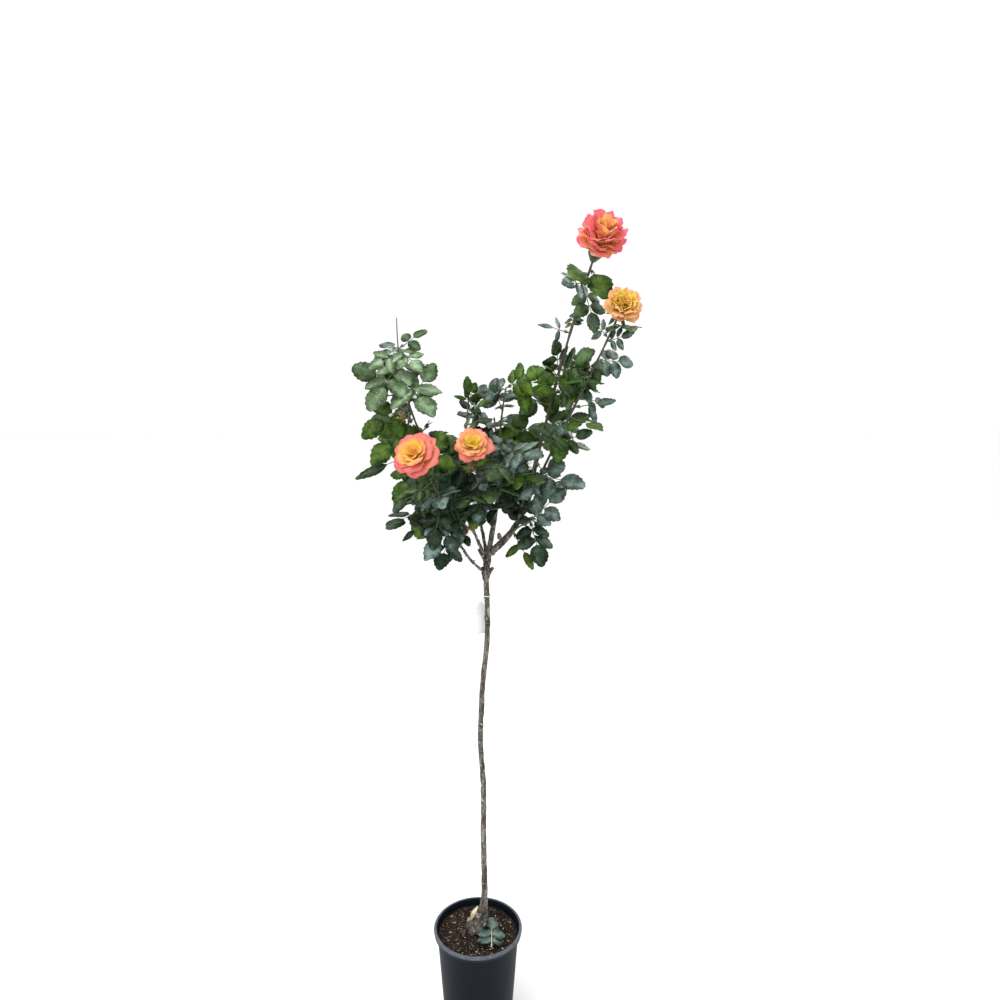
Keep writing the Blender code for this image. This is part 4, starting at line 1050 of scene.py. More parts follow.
def leavesSkyOpen(plan):
    for root, way, normal, length in plan[1]:
        for share in (0.3, 0.65, 1.0):
            seen = seenAt(root + way * length * share)
            for x, z, radius in openSky:
                if math.hypot(seen.x - x, seen.z - z) < radius:
                    return False
    return True


def insideBox(plan):
    lowest, highest = cadBox
    room = finer["room"]
    for root, way, normal, length in plan[1]:
        tip = root + way * length
        for axis in range(3):
            if not lowest[axis] - room < tip[axis] < highest[axis] + room:
                return False
    return True


aimedLeaves = (
    # shoot, share, tip, kind, tint and slimness: leaves that stand out on the real plant
    ("shoot_left_spray", 0.36, (-0.262, -0.030, 1.352), "leaf", "mid", 0.40),
    ("shoot_left_bloom", 0.75, (-0.184, -0.070, 1.275), "leaf", "deep", 0.60),
    ("shoot_low_left", 0.75, (-0.158, -0.050, 1.203), "leaf", "deep", 0.60),
    ("shoot_low_left", 0.10, (-0.062, -0.040, 1.150), "leaf", "deep", 1.10),
    ("shoot_tall", 0.95, (0.194, -0.030, 1.744), "single", "lime", 1.50),
    ("shoot_tall", 0.97, (0.270, -0.020, 1.700), "single", "lime", 1.15),
    ("shoot_tall", 0.86, (0.212, 0.020, 1.690), "single", "deep", 0.85),
    ("shoot_tall", 0.70, (0.130, 0.000, 1.655), "leaf", "blueAndPaintedSheen", 0.45),
    ("shoot_outer", 0.55, (0.300, 0.000, 1.500), "leaf", "blueAndPaintedSheen", 0.60),
    ("shoot_outer", 0.88, (0.322, -0.055, 1.640), "leaf", "blueAndPaintedSheen", 0.75),
    ("shoot_outer", 0.90, (0.235, -0.040, 1.668), "leaf", "blueAndPaintedSheen", 0.75),
    ("shoot_outer", 0.36, (0.250, -0.030, 1.425), "leaf", "mid", 0.80),
    ("shoot_outer", 0.42, (0.172, -0.045, 1.368), "single", "lime", 1.10),
    ("shoot_low_right", 0.20, (0.120, -0.035, 1.130), "leaf", "lime", 0.55),
    ("shoot_low_right", 0.70, (0.146, -0.045, 1.190), "leaf", "deep", 0.60),
    ("shoot_mid_twig", 1.00, (-0.016, -0.006, 1.545), "single", "lime", 0.75),
    ("shoot_mid_twig", 0.99, (-0.044, -0.010, 1.503), "single", "lime", 0.60),
    ("shoot_mid_twig", 0.99, (0.026, -0.010, 1.506), "single", "mid", 0.55),
)


def singlePlan(foot, tip):
    # one large leaflet on a short stalk, as just under a bloom
    way = (tip - foot).normalized()
    length = (tip - foot).length
    normal = Vector((0.1, -1.1, 0.7))
    normal = (normal - way * normal.dot(way)).normalized()
    end = foot + way * length * 0.16
    return (foot, end, normal), [(end, way, normal, length * 0.84)]


slimness = {}  # width factor of the aimed leaves, by their place in the list of all leaves


def growAimed():
    for count, (name, share, tip, kind, tint, slim) in enumerate(aimedLeaves):
        rng = random.Random(500 + count)
        foot, tip = along(shootLines[name], share), Vector(tip)
        if kind == "single":
            plan = singlePlan(foot, tip)
        else:
            out = (tip - foot).normalized() + Vector((0, 0, 0.25))
            plan = leafPlan(rng, foot, out, (tip - foot).length, leafRule["reachFace"])
        slimness[len(grown)] = slim
        grown.append((name, plan, tint))
        leafTrees.append(leafTreeOf(plan))


def growFiner():
    for name, shoot in shoots.items():
        line = shootLines[name]
        rng = random.Random(shoot["seed"] + 300)
        tints = random.Random(shoot["seed"] + 900)
        count, low, high = finer["tries"][name]
        for leaf in range(count):
            share = low + (high - low) * (leaf + rng.random() * 0.6) / count
            foot, way = along(line, share), direction(line, share)
            angle = shoot["turn"] + 60 + leaf * leafRule["turnStep"]
            for turn in leafRule["turns"]:
                lift = math.radians(rng.uniform(45, 75))
                out = way * math.cos(lift) + roundStem(way, angle + turn) * math.sin(lift)
                size = leafRule["size"] * rng.uniform(*finer["size"])
                plan = leafPlan(rng, foot, out, size, leafRule["face"])
                if insideBox(plan) and leavesSkyOpen(plan) and clearOfAll(plan):
                    grown.append((name, plan, tintFor(name, plan, tints)))
                    leafTrees.append(leafTreeOf(plan))
                    break


growAimed()
growFiner()
print("stage: leaves with the finer ones,", len(grown))

leafletShape = {
    "rows": 12,
    "tooth": 0.055,
    "toothLean": 0.35,
    "fold": 0.16,
    "curl": 0.10,
    "wave": 0.022,
    "thick": 0.0007,
}


def leafletWidthAt(t, fullness):
    return math.sin(math.pi * t**0.86) ** fullness


def leafletInto(heap, root, way, normal, length, width, rng, upper=0, under=1, fullness=0.8):
    # one toothed leaflet: a folded lens, its rim shared by the upper and the lower face
    shape = leafletShape
    normal = (normal - way * normal.dot(way)).normalized()
    side = normal.cross(way)
    rows = shape["rows"]
    curl = shape["curl"] * rng.uniform(-0.3, 1.4)
    fold = shape["fold"] * rng.uniform(0.3, 1.3)
    phase = rng.uniform(0, 6.28)
    points, uvs = [], []

    def place(t, across, lift):
        bend = -curl * t * t * length
        return root + way * (t * length) + side * across + normal * (lift + bend)

    points.append(place(0.0, 0.0, 0.0))
    uvs.append((0.5, 0.0))
    for row in range(1, rows):
        t = row / rows
        half = leafletWidthAt(t, fullness) * width / 2
        tooth = row % 2
        reach = half * (1 + shape["tooth"] * (1 if tooth else -0.6))
        ahead = shape["toothLean"] / rows * (1 if tooth else -0.4)
        for hand in (-1, 1):
            ripple = shape["wave"] * length * math.sin(phase + t * 9 + hand)
            points.append(place(min(0.99, t + ahead), reach * hand, fold * reach + ripple))
            uvs.append((0.5 + hand * 0.5, t))
        points.append(place(t, 0.0, 0.0))
        uvs.append((0.5, t))
        points.append(place(t, 0.0, -shape["thick"]))
        uvs.append((0.5, t))
    points.append(place(1.0, 0.0, 0.0))
    uvs.append((0.5, 1.0))
    tip = len(points) - 1
    faces, slots = [], []

    def corner(row, part):
        # part: 0 left rim, 1 right rim, 2 upper rib, 3 lower rib
        if row == 0:
            return 0
        if row == rows:
            return tip
        return 1 + (row - 1) * 4 + part

    for row in range(rows):
        for rim, flip in ((0, False), (1, True)):
            for rib, slot in ((2, upper), (3, under)):
                face = [corner(row, rim), corner(row, rib), corner(row + 1, rib), corner(row + 1, rim)]
                face = [spot for count, spot in enumerate(face) if spot not in face[:count]]
                if flip != (rib == 3):
                    face.reverse()
                faces.append(tuple(face))
                slots.append(slot)
    pour(heap, points, faces, uvs, slots)


leafHeaps = {tint: newHeap() for tint in leafPaints}
stalkHeap = newHeap()


def leafInto(plan, tint, rng, slim):
    (foot, end, normal), leaflets = plan
    heap = leafHeaps[tint]
    sag = -normal * (end - foot).length * 0.03
    middle = foot.lerp(end, 0.5) + sag
    line = smoothLine([foot, middle, end], 3)
    stalk = 0.0010 if (end - foot).length > 0.04 else 0.0008
    tubeInto(stalkHeap, line, [stalk * (1.35 - 0.6 * step / (len(line) - 1)) for step in range(len(line))], 5, 2)
    fullness = rng.uniform(0.55, 0.92)
    for root, way, face, length in leaflets:
        start = root + way * length * 0.03
        tubeInto(stalkHeap, [root, start + way * length * 0.02], [stalk * 0.8, stalk * 0.5], 4, 2)
        leafletInto(heap, start, way, face, length * 0.97, length * leafRule["leafletWidth"] * slim * rng.uniform(0.90, 1.04), rng, 0, 1, fullness)
    # stipules: two narrow wings at the foot of the stalk
    over = (end - foot).normalized()
    side = over.cross(normal)
    for hand in (-1, 1):
        way = (over + side * hand * 0.35).normalized()
        leafletInto(heap, foot + over * 0.004, way, normal, 0.012, 0.0035, rng)


leafRng = random.Random(41)
for number, (shootName, plan, tint) in enumerate(grown):
    leafInto(plan, tint, leafRng, slimness.get(number, 1.0))

leafPieces = []
for tint, heap in leafHeaps.items():
    if heap["faces"]:
        leafPieces.append(heapToPiece("leaves_" + tint, heap, leafPair(tint)))
print("stage: leaf meshes,", sum(len(heap["faces"]) for heap in leafHeaps.values()), "faces")

caneLook = {
    "sides": 9,
    "nodeSwell": 0.35,
    "prickleGap": 0.022,
    "prickleLength": 0.0048,
}


def prickleInto(heap, foot, out, way, length, slot):
    # a hooked thorn with a long foot along the cane
    side = out.cross(way).normalized()
    base = [foot + way * length * 0.55, foot + side * length * 0.16, foot - way * length * 0.40, foot - side * length * 0.16]
    middle = foot + out * length * 0.55 - way * length * 0.12
    ring = [middle + way * length * 0.16, middle + side * length * 0.07, middle - way * length * 0.10, middle - side * length * 0.07]
    tip = foot + out * length - way * length * 0.45
    points = [*base, *ring, tip]
    faces = [(0, 3, 2, 1)]
    for corner in range(4):
        after = (corner + 1) % 4
        faces += [(corner, after, after + 4, corner + 4), (corner + 4, after + 4, 8)]
    pour(heap, points, faces, [(0, 0)] * 9, slot)


def makeCanes():
    rng = random.Random(62)
    for name, shoot in shoots.items():
        line = smoothLine(shootLines[name], 5)
        first, last = shoot["radius"]
        feet = [plan[0][0] for owner, plan, tint in grown if owner == name]
        radii = []
        for step, place in enumerate(line):
            radius = first + (last - first) * step / (len(line) - 1)
            nearest = min(((place - foot).length for foot in feet), default=1)
            radii.append(radius * (1 + caneLook["nodeSwell"] * math.exp(-(nearest / 0.005) ** 2)))
        woody = 1 if name in ("shoot_tall", "shoot_outer", "shoot_core", "shoot_mid_bloom") else 0
        tubeInto(stalkHeap, line, radii, caneLook["sides"], woody)
        travelled, nextPrickle = 0.0, 0.03
        for step in range(1, len(line)):
            travelled += (line[step] - line[step - 1]).length
            if travelled > nextPrickle and step < len(line) - 4:
                nextPrickle = travelled + caneLook["prickleGap"] * rng.uniform(0.7, 1.6)
                way = (line[step] - line[step - 1]).normalized()
                out = roundStem(way, rng.uniform(0, 360))
                size = caneLook["prickleLength"] * rng.uniform(0.6, 1.1)
                prickleInto(stalkHeap, line[step] + out * radii[step] * 0.8, out, way, size, 3)
    for name, line, (first, last) in twigLines:
        radii = [first + (last - first) * step / (len(line) - 1) for step in range(len(line))]
        tubeInto(stalkHeap, line, radii, 6, 0)
    for name, line in boughLines.items():
        fine = smoothLine(line, 5)
        for step in range(6, len(fine) - 3, 3):
            if rng.random() < 0.45:
                way = (fine[step] - fine[step - 1]).normalized()
                out = roundStem(way, rng.uniform(0, 360))
                first, last = boughs[name]["radius"]
                radius = first + (last - first) * step / len(fine)
                prickleInto(stalkHeap, fine[step] + out * radius * 0.85, out, way, 0.0055 * rng.uniform(0.7, 1.1), 3)
    return heapToPiece("canesAndStalks", stalkHeap, [
        makeCanePaint("greenCane", (0.085, 0.105, 0.035), (0.055, 0.095, 0.024), (0.050, 0.034, 0.020), 0.5),
        makeCanePaint("brownCane", (0.080, 0.055, 0.042), (0.055, 0.055, 0.032), (0.032, 0.020, 0.016), 0.6),
        makeCanePaint("leafStalk", (0.090, 0.140, 0.040), (0.070, 0.125, 0.030), (0.095, 0.050, 0.030), 0.5),
        makeCanePaint("prickleRed", (0.160, 0.070, 0.045), (0.120, 0.085, 0.045), (0.085, 0.034, 0.022), 0.5),
    ])


# blooms

petalForm = {
    "columns": 11,
    "rows": 9,
    "thick": 0.0006,
    # whorls from the outside in, in shares of the bloom's radius: petals, length, half width, rise at
    # the claw and near the rim, how the rim rolls back, how tightly it wraps, and ruffle
    "bloom_top": (
        (4, 0.92, 0.44, 46, 6, -30, 2.2, 0.10), (6, 1.14, 0.44, 54, 20, -52, 1.7, 0.13),
        (7, 1.34, 0.44, 62, 34, -62, 1.4, 0.15), (8, 1.50, 0.40, 70, 50, -62, 1.15, 0.15),
        (8, 1.58, 0.36, 77, 63, -54, 1.0, 0.14), (7, 1.56, 0.31, 83, 75, -44, 0.9, 0.12),
        (5, 1.42, 0.25, 88, 86, -28, 0.85, 0.09),
    ),
    "bloom_yellow": (
        (6, 1.08, 0.42, 46, 6, -45, 2.1, 0.10), (9, 1.18, 0.34, 57, 28, -50, 1.6, 0.12),
        (10, 1.22, 0.29, 66, 44, -46, 1.3, 0.12), (11, 1.20, 0.25, 73, 57, -38, 1.1, 0.11),
        (11, 1.14, 0.22, 79, 68, -30, 1.0, 0.10), (10, 1.04, 0.18, 84, 78, -20, 0.9, 0.09),
        (7, 0.90, 0.14, 88, 88, -10, 0.85, 0.08),
    ),
    "bloom_left": (
        (5, 1.32, 0.60, 48, 4, -74, 2.2, 0.06), (5, 1.32, 0.58, 60, 24, -78, 1.7, 0.07),
        (5, 1.26, 0.52, 68, 42, -78, 1.4, 0.07), (6, 1.14, 0.44, 74, 56, -64, 1.15, 0.06),
        (6, 0.98, 0.35, 80, 68, -42, 1.0, 0.06), (6, 0.82, 0.26, 84, 78, -25, 0.9, 0.06),
    ),
    "bloom_mid": (
        (6, 1.30, 0.52, 46, 4, -62, 2.0, 0.09), (6, 1.30, 0.49, 60, 26, -62, 1.6, 0.09),
        (7, 1.24, 0.42, 70, 44, -52, 1.3, 0.08), (7, 1.12, 0.36, 77, 59, -42, 1.1, 0.08),
        (7, 0.98, 0.29, 82, 72, -28, 0.95, 0.07), (5, 0.84, 0.22, 86, 82, -14, 0.9, 0.06),
    ),
}

# how many whorls from the outside wear the outer and the middle paint, the size of the petals as a
# share of the bloom's radius, and how far they lean to the viewer
bloomDress = {
    "bloom_top": (1, 5, 1.00, 0.40),
    "bloom_yellow": (1, 3, 1.00, 0.12),
    "bloom_left": (2, 3, 0.94, 0.0),
    "bloom_mid": (1, 3, 0.92, 0.0),
}

bloomPaints = {
    # ramps from claw to rim for the outer, the middle and the heart petals, and the streak colour; the dark first stop
    # at the claw is painted shade in the creases between petals
    "bloom_top": (
        (((0.05, (0.57, 0.28, 0.10)), (0.35, (0.84, 0.55, 0.30)), (0.75, (0.86, 0.49, 0.36)), (1.0, (0.78, 0.23, 0.24))), (0.85, 0.70, 0.50)),
        (((0.05, (0.57, 0.22, 0.03)), (0.32, (0.92, 0.58, 0.11)), (0.66, (0.91, 0.46, 0.16)), (0.84, (0.86, 0.21, 0.20)), (1.0, (0.77, 0.07, 0.20))), (0.89, 0.60, 0.26)),
        (((0.05, (0.57, 0.22, 0.03)), (0.35, (0.91, 0.68, 0.08)), (0.80, (0.92, 0.60, 0.12)), (0.92, (0.89, 0.40, 0.18)), (1.0, (0.84, 0.14, 0.20))), (0.91, 0.70, 0.20)),
    ),
    "bloom_yellow": (
        (((0.05, (0.52, 0.23, 0.04)), (0.40, (0.81, 0.49, 0.09)), (0.78, (0.81, 0.49, 0.15)), (0.92, (0.78, 0.36, 0.21)), (1.0, (0.72, 0.22, 0.21))), (0.82, 0.59, 0.28)),
        (((0.05, (0.47, 0.22, 0.02)), (0.40, (0.79, 0.45, 0.05)), (0.76, (0.82, 0.50, 0.10)), (0.90, (0.81, 0.45, 0.21)), (1.0, (0.77, 0.32, 0.26))), (0.83, 0.63, 0.27)),
        (((0.05, (0.53, 0.25, 0.01)), (0.40, (0.81, 0.50, 0.03)), (0.84, (0.83, 0.57, 0.05)), (0.94, (0.83, 0.52, 0.13)), (1.0, (0.80, 0.40, 0.19))), (0.84, 0.68, 0.23)),
    ),
    "bloom_left": (
        (((0.05, (0.46, 0.15, 0.03)), (0.35, (0.79, 0.38, 0.10)), (0.60, (0.77, 0.29, 0.12)), (0.80, (0.71, 0.16, 0.14)), (1.0, (0.57, 0.07, 0.10))), (0.79, 0.41, 0.27)),
        (((0.05, (0.46, 0.18, 0.02)), (0.42, (0.80, 0.49, 0.05)), (0.76, (0.80, 0.41, 0.08)), (0.90, (0.76, 0.25, 0.11)), (1.0, (0.66, 0.12, 0.11))), (0.81, 0.54, 0.21)),
        (((0.05, (0.49, 0.20, 0.01)), (0.40, (0.79, 0.49, 0.02)), (0.74, (0.81, 0.52, 0.04)), (0.88, (0.80, 0.38, 0.08)), (1.0, (0.74, 0.22, 0.10))), (0.82, 0.63, 0.14)),
    ),
    "bloom_mid": (
        (((0.05, (0.45, 0.15, 0.04)), (0.35, (0.78, 0.40, 0.11)), (0.62, (0.75, 0.29, 0.13)), (0.82, (0.70, 0.19, 0.14)), (1.0, (0.61, 0.10, 0.12))), (0.76, 0.38, 0.25)),
        (((0.05, (0.48, 0.19, 0.02)), (0.40, (0.79, 0.46, 0.05)), (0.72, (0.79, 0.41, 0.10)), (0.88, (0.75, 0.29, 0.14)), (1.0, (0.68, 0.16, 0.13))), (0.80, 0.53, 0.25)),
        (((0.05, (0.51, 0.22, 0.01)), (0.45, (0.78, 0.52, 0.02)), (0.84, (0.80, 0.57, 0.05)), (0.95, (0.78, 0.43, 0.10)), (1.0, (0.74, 0.28, 0.11))), (0.80, 0.64, 0.16)),
    ),
}


def petalInto(heap, frameOf, radius, whorl, angle, rng, slot):
    count, length, half, first, last, roll, wrap, ruffle = whorl
    form = petalForm
    rows, columns = form["rows"], form["columns"]
    scale = radius * rng.uniform(0.92, 1.04)
    first += rng.uniform(-6, 6)
    last += rng.uniform(-11, 11)
    phase = rng.uniform(0, 6.28)
    notch = rng.uniform(0.02, 0.12)
    lean = rng.uniform(-0.10, 0.10)
    spots = []
    steps = 18
    away, high = 0.035 * radius, 0.02 * radius
    for step in range(steps + 1):
        share = step / steps
        rise = math.radians(first + (last - first) * share + roll * max(0, (share - 0.62) / 0.38) ** 1.6)
        spots.append((away, high, rise))
        away += math.cos(rise) * length * scale / steps
        high += math.sin(rise) * length * scale / steps
    turn = Matrix.Rotation(angle, 3, "Z")
    points, uvs, faces = [], [], []
    for row in range(rows):
        t = row / (rows - 1)
        for column in range(columns):
            s = column / (columns - 1) * 2 - 1
            reach = t * (1 - 0.27 * abs(s) ** 2.9 - notch * math.exp(-(s / 0.2) ** 2) * t)
            place = reach * steps
            low = min(int(place), steps - 1)
            mix = place - low
            away, high, rise = (spots[low][part] * (1 - mix) + spots[low + 1][part] * mix for part in range(3))
            wide = half * scale * (0.26 + 0.74 * math.sin(min(1, t * 1.25) * math.pi / 2) ** 1.1)
            around = max(away, 0.20 * radius) * wrap
            bend = (s + lean * t) * wide / around
            bend = max(-2.2, min(2.2, bend))
            out = (away - around) + around * math.cos(bend)
            across = around * math.sin(bend)
            push = ruffle * radius * t**2.2 * math.sin(phase + s * 4.2) * (0.35 + abs(s))
            push += ruffle * 0.35 * radius * t**4 * math.sin(phase * 2 + s * 8)
            push += 0.03 * radius * t * noise.noise(Vector((s * 1.7 + phase, t * 2.3, angle * 3)))
            spot = Vector((out + math.sin(rise) * push, across, high - math.cos(rise) * push))
            points.append(frameOf @ (turn @ spot))
            uvs.append((column / (columns - 1), reach))
    for row in range(rows - 1):
        for column in range(columns - 1):
            a = row * columns + column
            faces.append((a, a + 1, a + columns + 1, a + columns))
    pour(heap, points, faces, uvs, slot)


def makeBloom(name):
    bloom = blooms[name]
    line = shootLines[bloom["shoot"]]
    axis = compass(bloom["heading"], bloom["rise"])
    base = line[-1] + axis * (hipLength + 0.0003)
    rng = random.Random(bloom["seed"] + 50)
    heap = newHeap()
    whorls = petalForm[name]
    outerWhorls, middleWhorls, petalSize, lean = bloomDress[name]
    frameOf = facing(base, (axis + Vector((0, -lean, 0))).normalized())
    radius = bloom["radius"] * petalSize
    for number, whorl in enumerate(whorls):
        part = 0 if number < outerWhorls else 1 if number < middleWhorls else 2
        for petal in range(whorl[0]):
            angle = 2 * math.pi * (petal + 0.5 * (number % 2)) / whorl[0] + rng.uniform(-0.14, 0.14) + number * 0.7
            petalInto(heap, frameOf, radius, whorl, angle, rng, part)
    paints = []
    for part, (stops, streak) in zip(("outer", "middle", "heart"), bloomPaints[name]):
        paints.append(petalPaint(f"{name}_{part}", stops, streak))
    piece = heapToPiece(name + "_petals", heap, paints)
    pick(piece)
    bpy.ops.object.modifier_add(type="SOLIDIFY")
    piece.modifiers[-1].thickness = petalForm["thick"]
    piece.modifiers[-1].offset = 0.0
    bpy.ops.object.modifier_apply(modifier=piece.modifiers[-1].name)
    bpy.ops.object.modifier_add(type="SUBSURF")
    piece.modifiers[-1].levels = piece.modifiers[-1].render_levels = 1
    bpy.ops.object.modifier_apply(modifier=piece.modifiers[-1].name)
    return piece


sepalForm = {"count": 5, "length": 0.030, "width": 0.009}


def makeCalyxes():
    heap = newHeap()
    rng = random.Random(77)
    for name, bloom in blooms.items():
        line = shootLines[bloom["shoot"]]
        axis = compass(bloom["heading"], bloom["rise"])
        tip = line[-1]
        foot = shoots[bloom["shoot"]]["radius"][1]
        wide = bloom["calyx"]
        goblet = name == "bloom_top"
        low = max(foot * 1.3, wide * 0.5)
        steps = [(0.0, low * 0.9), (0.12, low), (0.38, wide * 0.72), (0.66, wide * 0.93), (0.86, wide), (1.0, wide * (1.0 if goblet else 0.86))]
        ring = [tip - direction(line, 1.0) * 0.004] + [tip + axis * hipLength * share for share, radius in steps]
        tubeInto(heap, ring, [foot] + [radius for share, radius in steps], 14, 0)
        crown = tip + axis * (hipLength + 0.001)
        turn = facing(crown, axis)
        for sepal in range(sepalForm["count"]):
            angle = 2 * math.pi * sepal / sepalForm["count"] + rng.uniform(-0.2, 0.2)
            out = (turn.to_3x3() @ Vector((math.cos(angle), math.sin(angle), 0))).normalized()
            lean = rng.uniform(1.6, 2.2) if goblet else rng.uniform(-0.9, -0.2)
            way = (out + axis * lean).normalized()
            face = (axis - out * lean).normalized()
            start = crown + out * wide * 0.62 - axis * 0.003
            length, width = (0.020, 0.014) if goblet else (sepalForm["length"], sepalForm["width"])
            leafletInto(heap, start, way, face, length, width, rng, 0, 1)
    return heapToPiece("calyxes", heap, [
        grainyPaint("calyxGreen", (0.022, 0.052, 0.020), (0.045, 0.095, 0.035), 0.5, 160.0),
        grainyPaint("sepalUnder", (0.040, 0.075, 0.035), (0.085, 0.130, 0.060), 0.65, 160.0),
    ])


# the blank label and its band

tagSizes = {
    "width": 0.021, "length": 0.074, "thick": 0.0009, "bevel": 0.0022,
    "place": (0.010, 0.013, 1.012), "turn": 12,
    "bandHeight": 1.068, "bandShift": 0.0009, "bandThick": 0.0007, "bandHalf": 0.0011,
}


def makeTag():
    sizes = tagSizes
    deselectAll()
    place = Vector(sizes["place"])
    bpy.ops.mesh.primitive_cube_add(size=1, location=(0, 0, 0))
    tag = named("labelTag")
    tag.scale = (sizes["width"], sizes["thick"], sizes["length"])
    bpy.ops.object.transform_apply(location=True, rotation=True, scale=True)
    bpy.ops.object.mode_set(mode="EDIT")
    bpy.ops.mesh.select_all(action="SELECT")
    bpy.ops.mesh.subdivide(number_cuts=9)
    bpy.ops.object.mode_set(mode="OBJECT")
    half = sizes["length"] / 2
    for vert in tag.data.vertices:
        # rounded shoulders towards the strap, and a slight curl of the sheet
        near = max(0.0, (vert.co.z - half * 0.55) / (half * 0.45))
        vert.co.x *= 1 - 0.62 * near**2
        vert.co.y += 0.0016 * (vert.co.x / (sizes["width"] / 2)) ** 2 - 0.0007 + 0.0012 * (vert.co.z / half) ** 2
    tag.data.transform(Matrix.Translation(place) @ Matrix.Rotation(math.radians(sizes["turn"]), 4, "Z"))
    middle = min(stemCurve, key=lambda point: abs(point.z - sizes["bandHeight"]))
    inner = stemRadius(sizes["bandHeight"]) + 0.0015
    heap = newHeap()
    sides = 40
    points, faces = [], []
    for side in range(sides):
        way = compass(side * 360 / sides, 0)
        for radius, high in ((inner, 1), (inner + sizes["bandThick"], 1), (inner + sizes["bandThick"], -1), (inner, -1)):
            spot = way * radius
            points.append(Vector((middle.x + spot.x, middle.y - sizes["bandShift"] + spot.y, sizes["bandHeight"] + high * sizes["bandHalf"])))
    for side in range(sides):
        for part in range(4):
            a, b = side * 4 + part, side * 4 + (part + 1) % 4
            c, d = ((side + 1) % sides) * 4 + (part + 1) % 4, ((side + 1) % sides) * 4 + part
            faces.append((a, b, c, d))
    pour(heap, points, faces, [(0, 0)] * len(points))
    top = place + Vector((0, 0.0006, half - 0.002))
    catch = Vector((middle.x - 0.004, middle.y + inner + 0.0002, sizes["bandHeight"]))
    strap = smoothLine([top, top.lerp(catch, 0.5) + Vector((0, 0.0012, 0)), catch], 5)
    tubeInto(heap, strap, [0.0015] * len(strap), 6)
    band = heapToPiece("labelBand", heap, [])
    band.data.polygons.foreach_set("use_smooth", [False] * len(band.data.polygons))
    paint, tree, shader = startPaint("labelWhite", (0.80, 0.81, 0.84), 0.42, 0.5)
    fibre = addNode(tree, "ShaderNodeTexNoise", {"Vector": objectPoints(tree), "Scale": 240.0, "Detail": 3.0})
    grime = addNode(tree, "ShaderNodeTexNoise", {"Vector": objectPoints(tree), "Scale": 38.0, "Detail": 5.0})
    tree.links.new(ramp(tree, grime.outputs["Fac"], ((0.35, (0.82, 0.83, 0.87)), (0.75, (0.66, 0.66, 0.64)))), shader.inputs["Base Color"])
    bumpFrom(tree, shader, fibre.outputs["Fac"], 0.2, 0.0003)
    for piece in (tag, band):
        piece.data.materials.append(paint)
    pick(tag)
    bpy.ops.object.shade_smooth_by_angle(angle=math.radians(35))
    return tag, band


# the leaf that fell on the compost

def makeFallenLeaf():
    rng = random.Random(71)
    foot = Vector((0.033, -0.064, stemSizes["soilLevel"] + 0.004))
    plan = leafPlan(rng, foot, compass(90, 20), 0.095, 0.3)
    lowest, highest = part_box("fallen_leaf")
    (foot, end, normal), leaflets = plan
    heap = newHeap()
    shape = random.Random(72)
    for root, way, face, length in leaflets:
        leafletInto(heap, root + way * length * 0.02, way, face, length, length * 0.78, shape, 0, 1)
    line = smoothLine([foot, foot.lerp(end, 0.5), end], 3)
    tubeInto(heap, line, [0.0016 - 0.0009 * step / (len(line) - 1) for step in range(len(line))], 6, 2)
    drop = lowest.z - min(point[2] for point in heap["points"]) + 0.0006
    heap["points"] = [(x, y, z + drop) for x, y, z in heap["points"]]
    return heapToPiece("fallenLeaf", heap, [
        leafPaint("leaf_fallen", (0.060, 0.105, 0.086), (0.130, 0.205, 0.175), (0.026, 0.050, 0.038), (0.15, 0.22, 0.19), 0.42, 0.4, 0.2),
        leafPaint("underleaf_fallen", (0.070, 0.120, 0.080), (0.12, 0.19, 0.13), (0.04, 0.07, 0.045), (0.15, 0.22, 0.15), 0.6, 0.2, 0.0),
        grainyPaint("creamStalk", (0.50, 0.46, 0.26), (0.78, 0.74, 0.50), 0.6, 200.0),
    ])


# spent bloom heads, with their dry threads

spentHeads = (
    # place, the way it faces, size
    ((-0.006, -0.100, 1.373), (-0.1, -0.6, -0.6), 0.021),
    ((-0.012, -0.060, 1.233), (-0.2, -0.8, 0.1), 0.020),
    ((-0.145, -0.060, 1.462), (-0.3, -0.7, 0.4), 0.016),
    ((0.109, -0.020, 1.358), (0.3, -0.8, 0.3), 0.016),
)


def makeSpentHeads():
    heap = newHeap()
    rng = random.Random(88)
    for place, way, size in spentHeads:
        place, way = Vector(place), Vector(way).normalized()
        # each hangs on a short stalk from the nearest cane
        anchor = min(
            (spot for line in shootLines.values() for spot in smoothLine(line, 3)), key=lambda spot: (spot - place).length
        )
        stalk = smoothLine([anchor, anchor.lerp(place, 0.5) - Vector((0, 0, 0.004)), place], 4)
        tubeInto(heap, stalk, [0.0010] * len(stalk), 5, 1)
        tubeInto(heap, [place - way * size * 0.3, place, place + way * size * 0.25], [0.0012, size * 0.2, size * 0.12], 8, 1)
        for thread in range(34):
            lean = Vector((rng.uniform(-1, 1), rng.uniform(-1, 1), rng.uniform(-1, 1))).normalized()
            out = (way * 0.7 + lean).normalized()
            tip = place + out * size * rng.uniform(0.6, 1.1)
            bend = place + out * size * 0.5 + Vector((rng.uniform(-1, 1), rng.uniform(-1, 1), rng.uniform(-1, 1))) * size * 0.15
            tubeInto(heap, [place, bend, tip], [0.0004, 0.0003, 0.0004], 3, 0)
    return heapToPiece("spentHeads", heap, [
        grainyPaint("dryThread", (0.26, 0.17, 0.07), (0.50, 0.38, 0.18), 0.8, 300.0),
        grainyPaint("dryStalk", (0.10, 0.07, 0.035), (0.20, 0.15, 0.07), 0.8, 300.0),
    ])


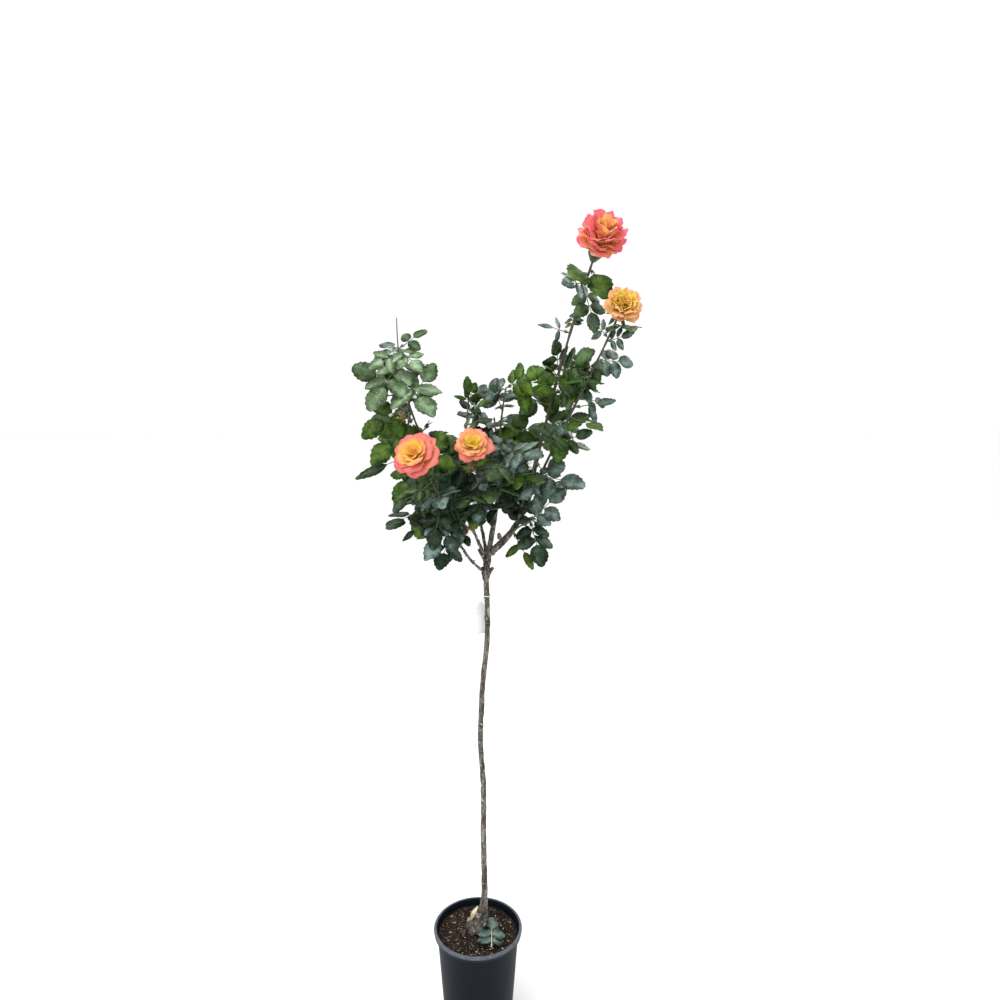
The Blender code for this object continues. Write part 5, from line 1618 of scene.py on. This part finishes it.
def makeStudio():
    deselectAll()
    bpy.ops.mesh.primitive_plane_add(size=1, location=(0, 0, 0))
    sweep = named("studioSweep")
    sweep.scale = (30, 30, 1)
    bpy.ops.object.transform_apply(location=True, rotation=True, scale=True)
    paint, tree, shader = startPaint("paleFloor", studio["floor"], 0.9, 0.1)
    sweep.data.materials.append(paint)
    world = bpy.data.worlds.new("softSky")
    world.use_nodes = True
    world.node_tree.nodes["Background"].inputs["Color"].default_value = (*studio["world"], 1)
    world.node_tree.nodes["Background"].inputs["Strength"].default_value = studio["worldStrength"]
    bpy.context.scene.world = world
    bpy.context.scene.view_settings.view_transform = "Standard"
    for name, place, target, size, watts, colour in studio["lights"]:
        bpy.ops.object.light_add(type="AREA", location=place)
        light = named(name)
        light.data.shape = "DISK"
        light.data.size = size
        light.data.energy = watts
        light.data.color = colour
        light.rotation_euler = (Vector(target) - Vector(place)).to_track_quat("-Z", "Y").to_euler()
    bpy.ops.object.camera_add(location=studio["camera"], rotation=(math.radians(90 - studio["pitch"]), 0, 0))
    camera = named("photoCamera")
    camera.data.lens = studio["lens"]
    camera.data.sensor_width = 36
    bpy.context.scene.camera = camera


pot = makePot()
print("stage: pot")
soil, crumbPiece, litterPiece = makeCompost()
print("stage: compost")
bark = makeBark()
cutFaces = makeCutFaces()
print("stage: bark,", len(bark.data.polygons), "faces")
canes = makeCanes()
calyxes = makeCalyxes()
print("stage: canes and calyxes,", len(canes.data.polygons), "faces")
petalPieces = {name: makeBloom(name) for name in blooms}
print("stage: blooms,", sum(len(piece.data.polygons) for piece in petalPieces.values()), "faces")
tag, band = makeTag()
fallenLeaf = makeFallenLeaf()
spent = makeSpentHeads()
makeStudio()
print("stage: label, fallen leaf, spent heads and studio")

massNodes = list(shoots)
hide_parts("pot")
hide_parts("soil")
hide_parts("trunk", *boughs)
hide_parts(*massNodes)
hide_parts("tag")
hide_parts("fallen_leaf")
for name, piece in petalPieces.items():
    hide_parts(name)
for piece in leafPieces:
    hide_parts(*massNodes)

slots = (
    ("pot", (pot,)),
    ("soil", (soil, crumbPiece, litterPiece)),
    ("bark", (bark, cutFaces)),
    ("leaf", (canes, calyxes, fallenLeaf, spent, *leafPieces)),
    ("petal", tuple(petalPieces.values())),
    ("tag", (tag, band)),
)
for slotName, members in slots:
    for piece in members:
        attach(piece, "root")

print("stage: done")
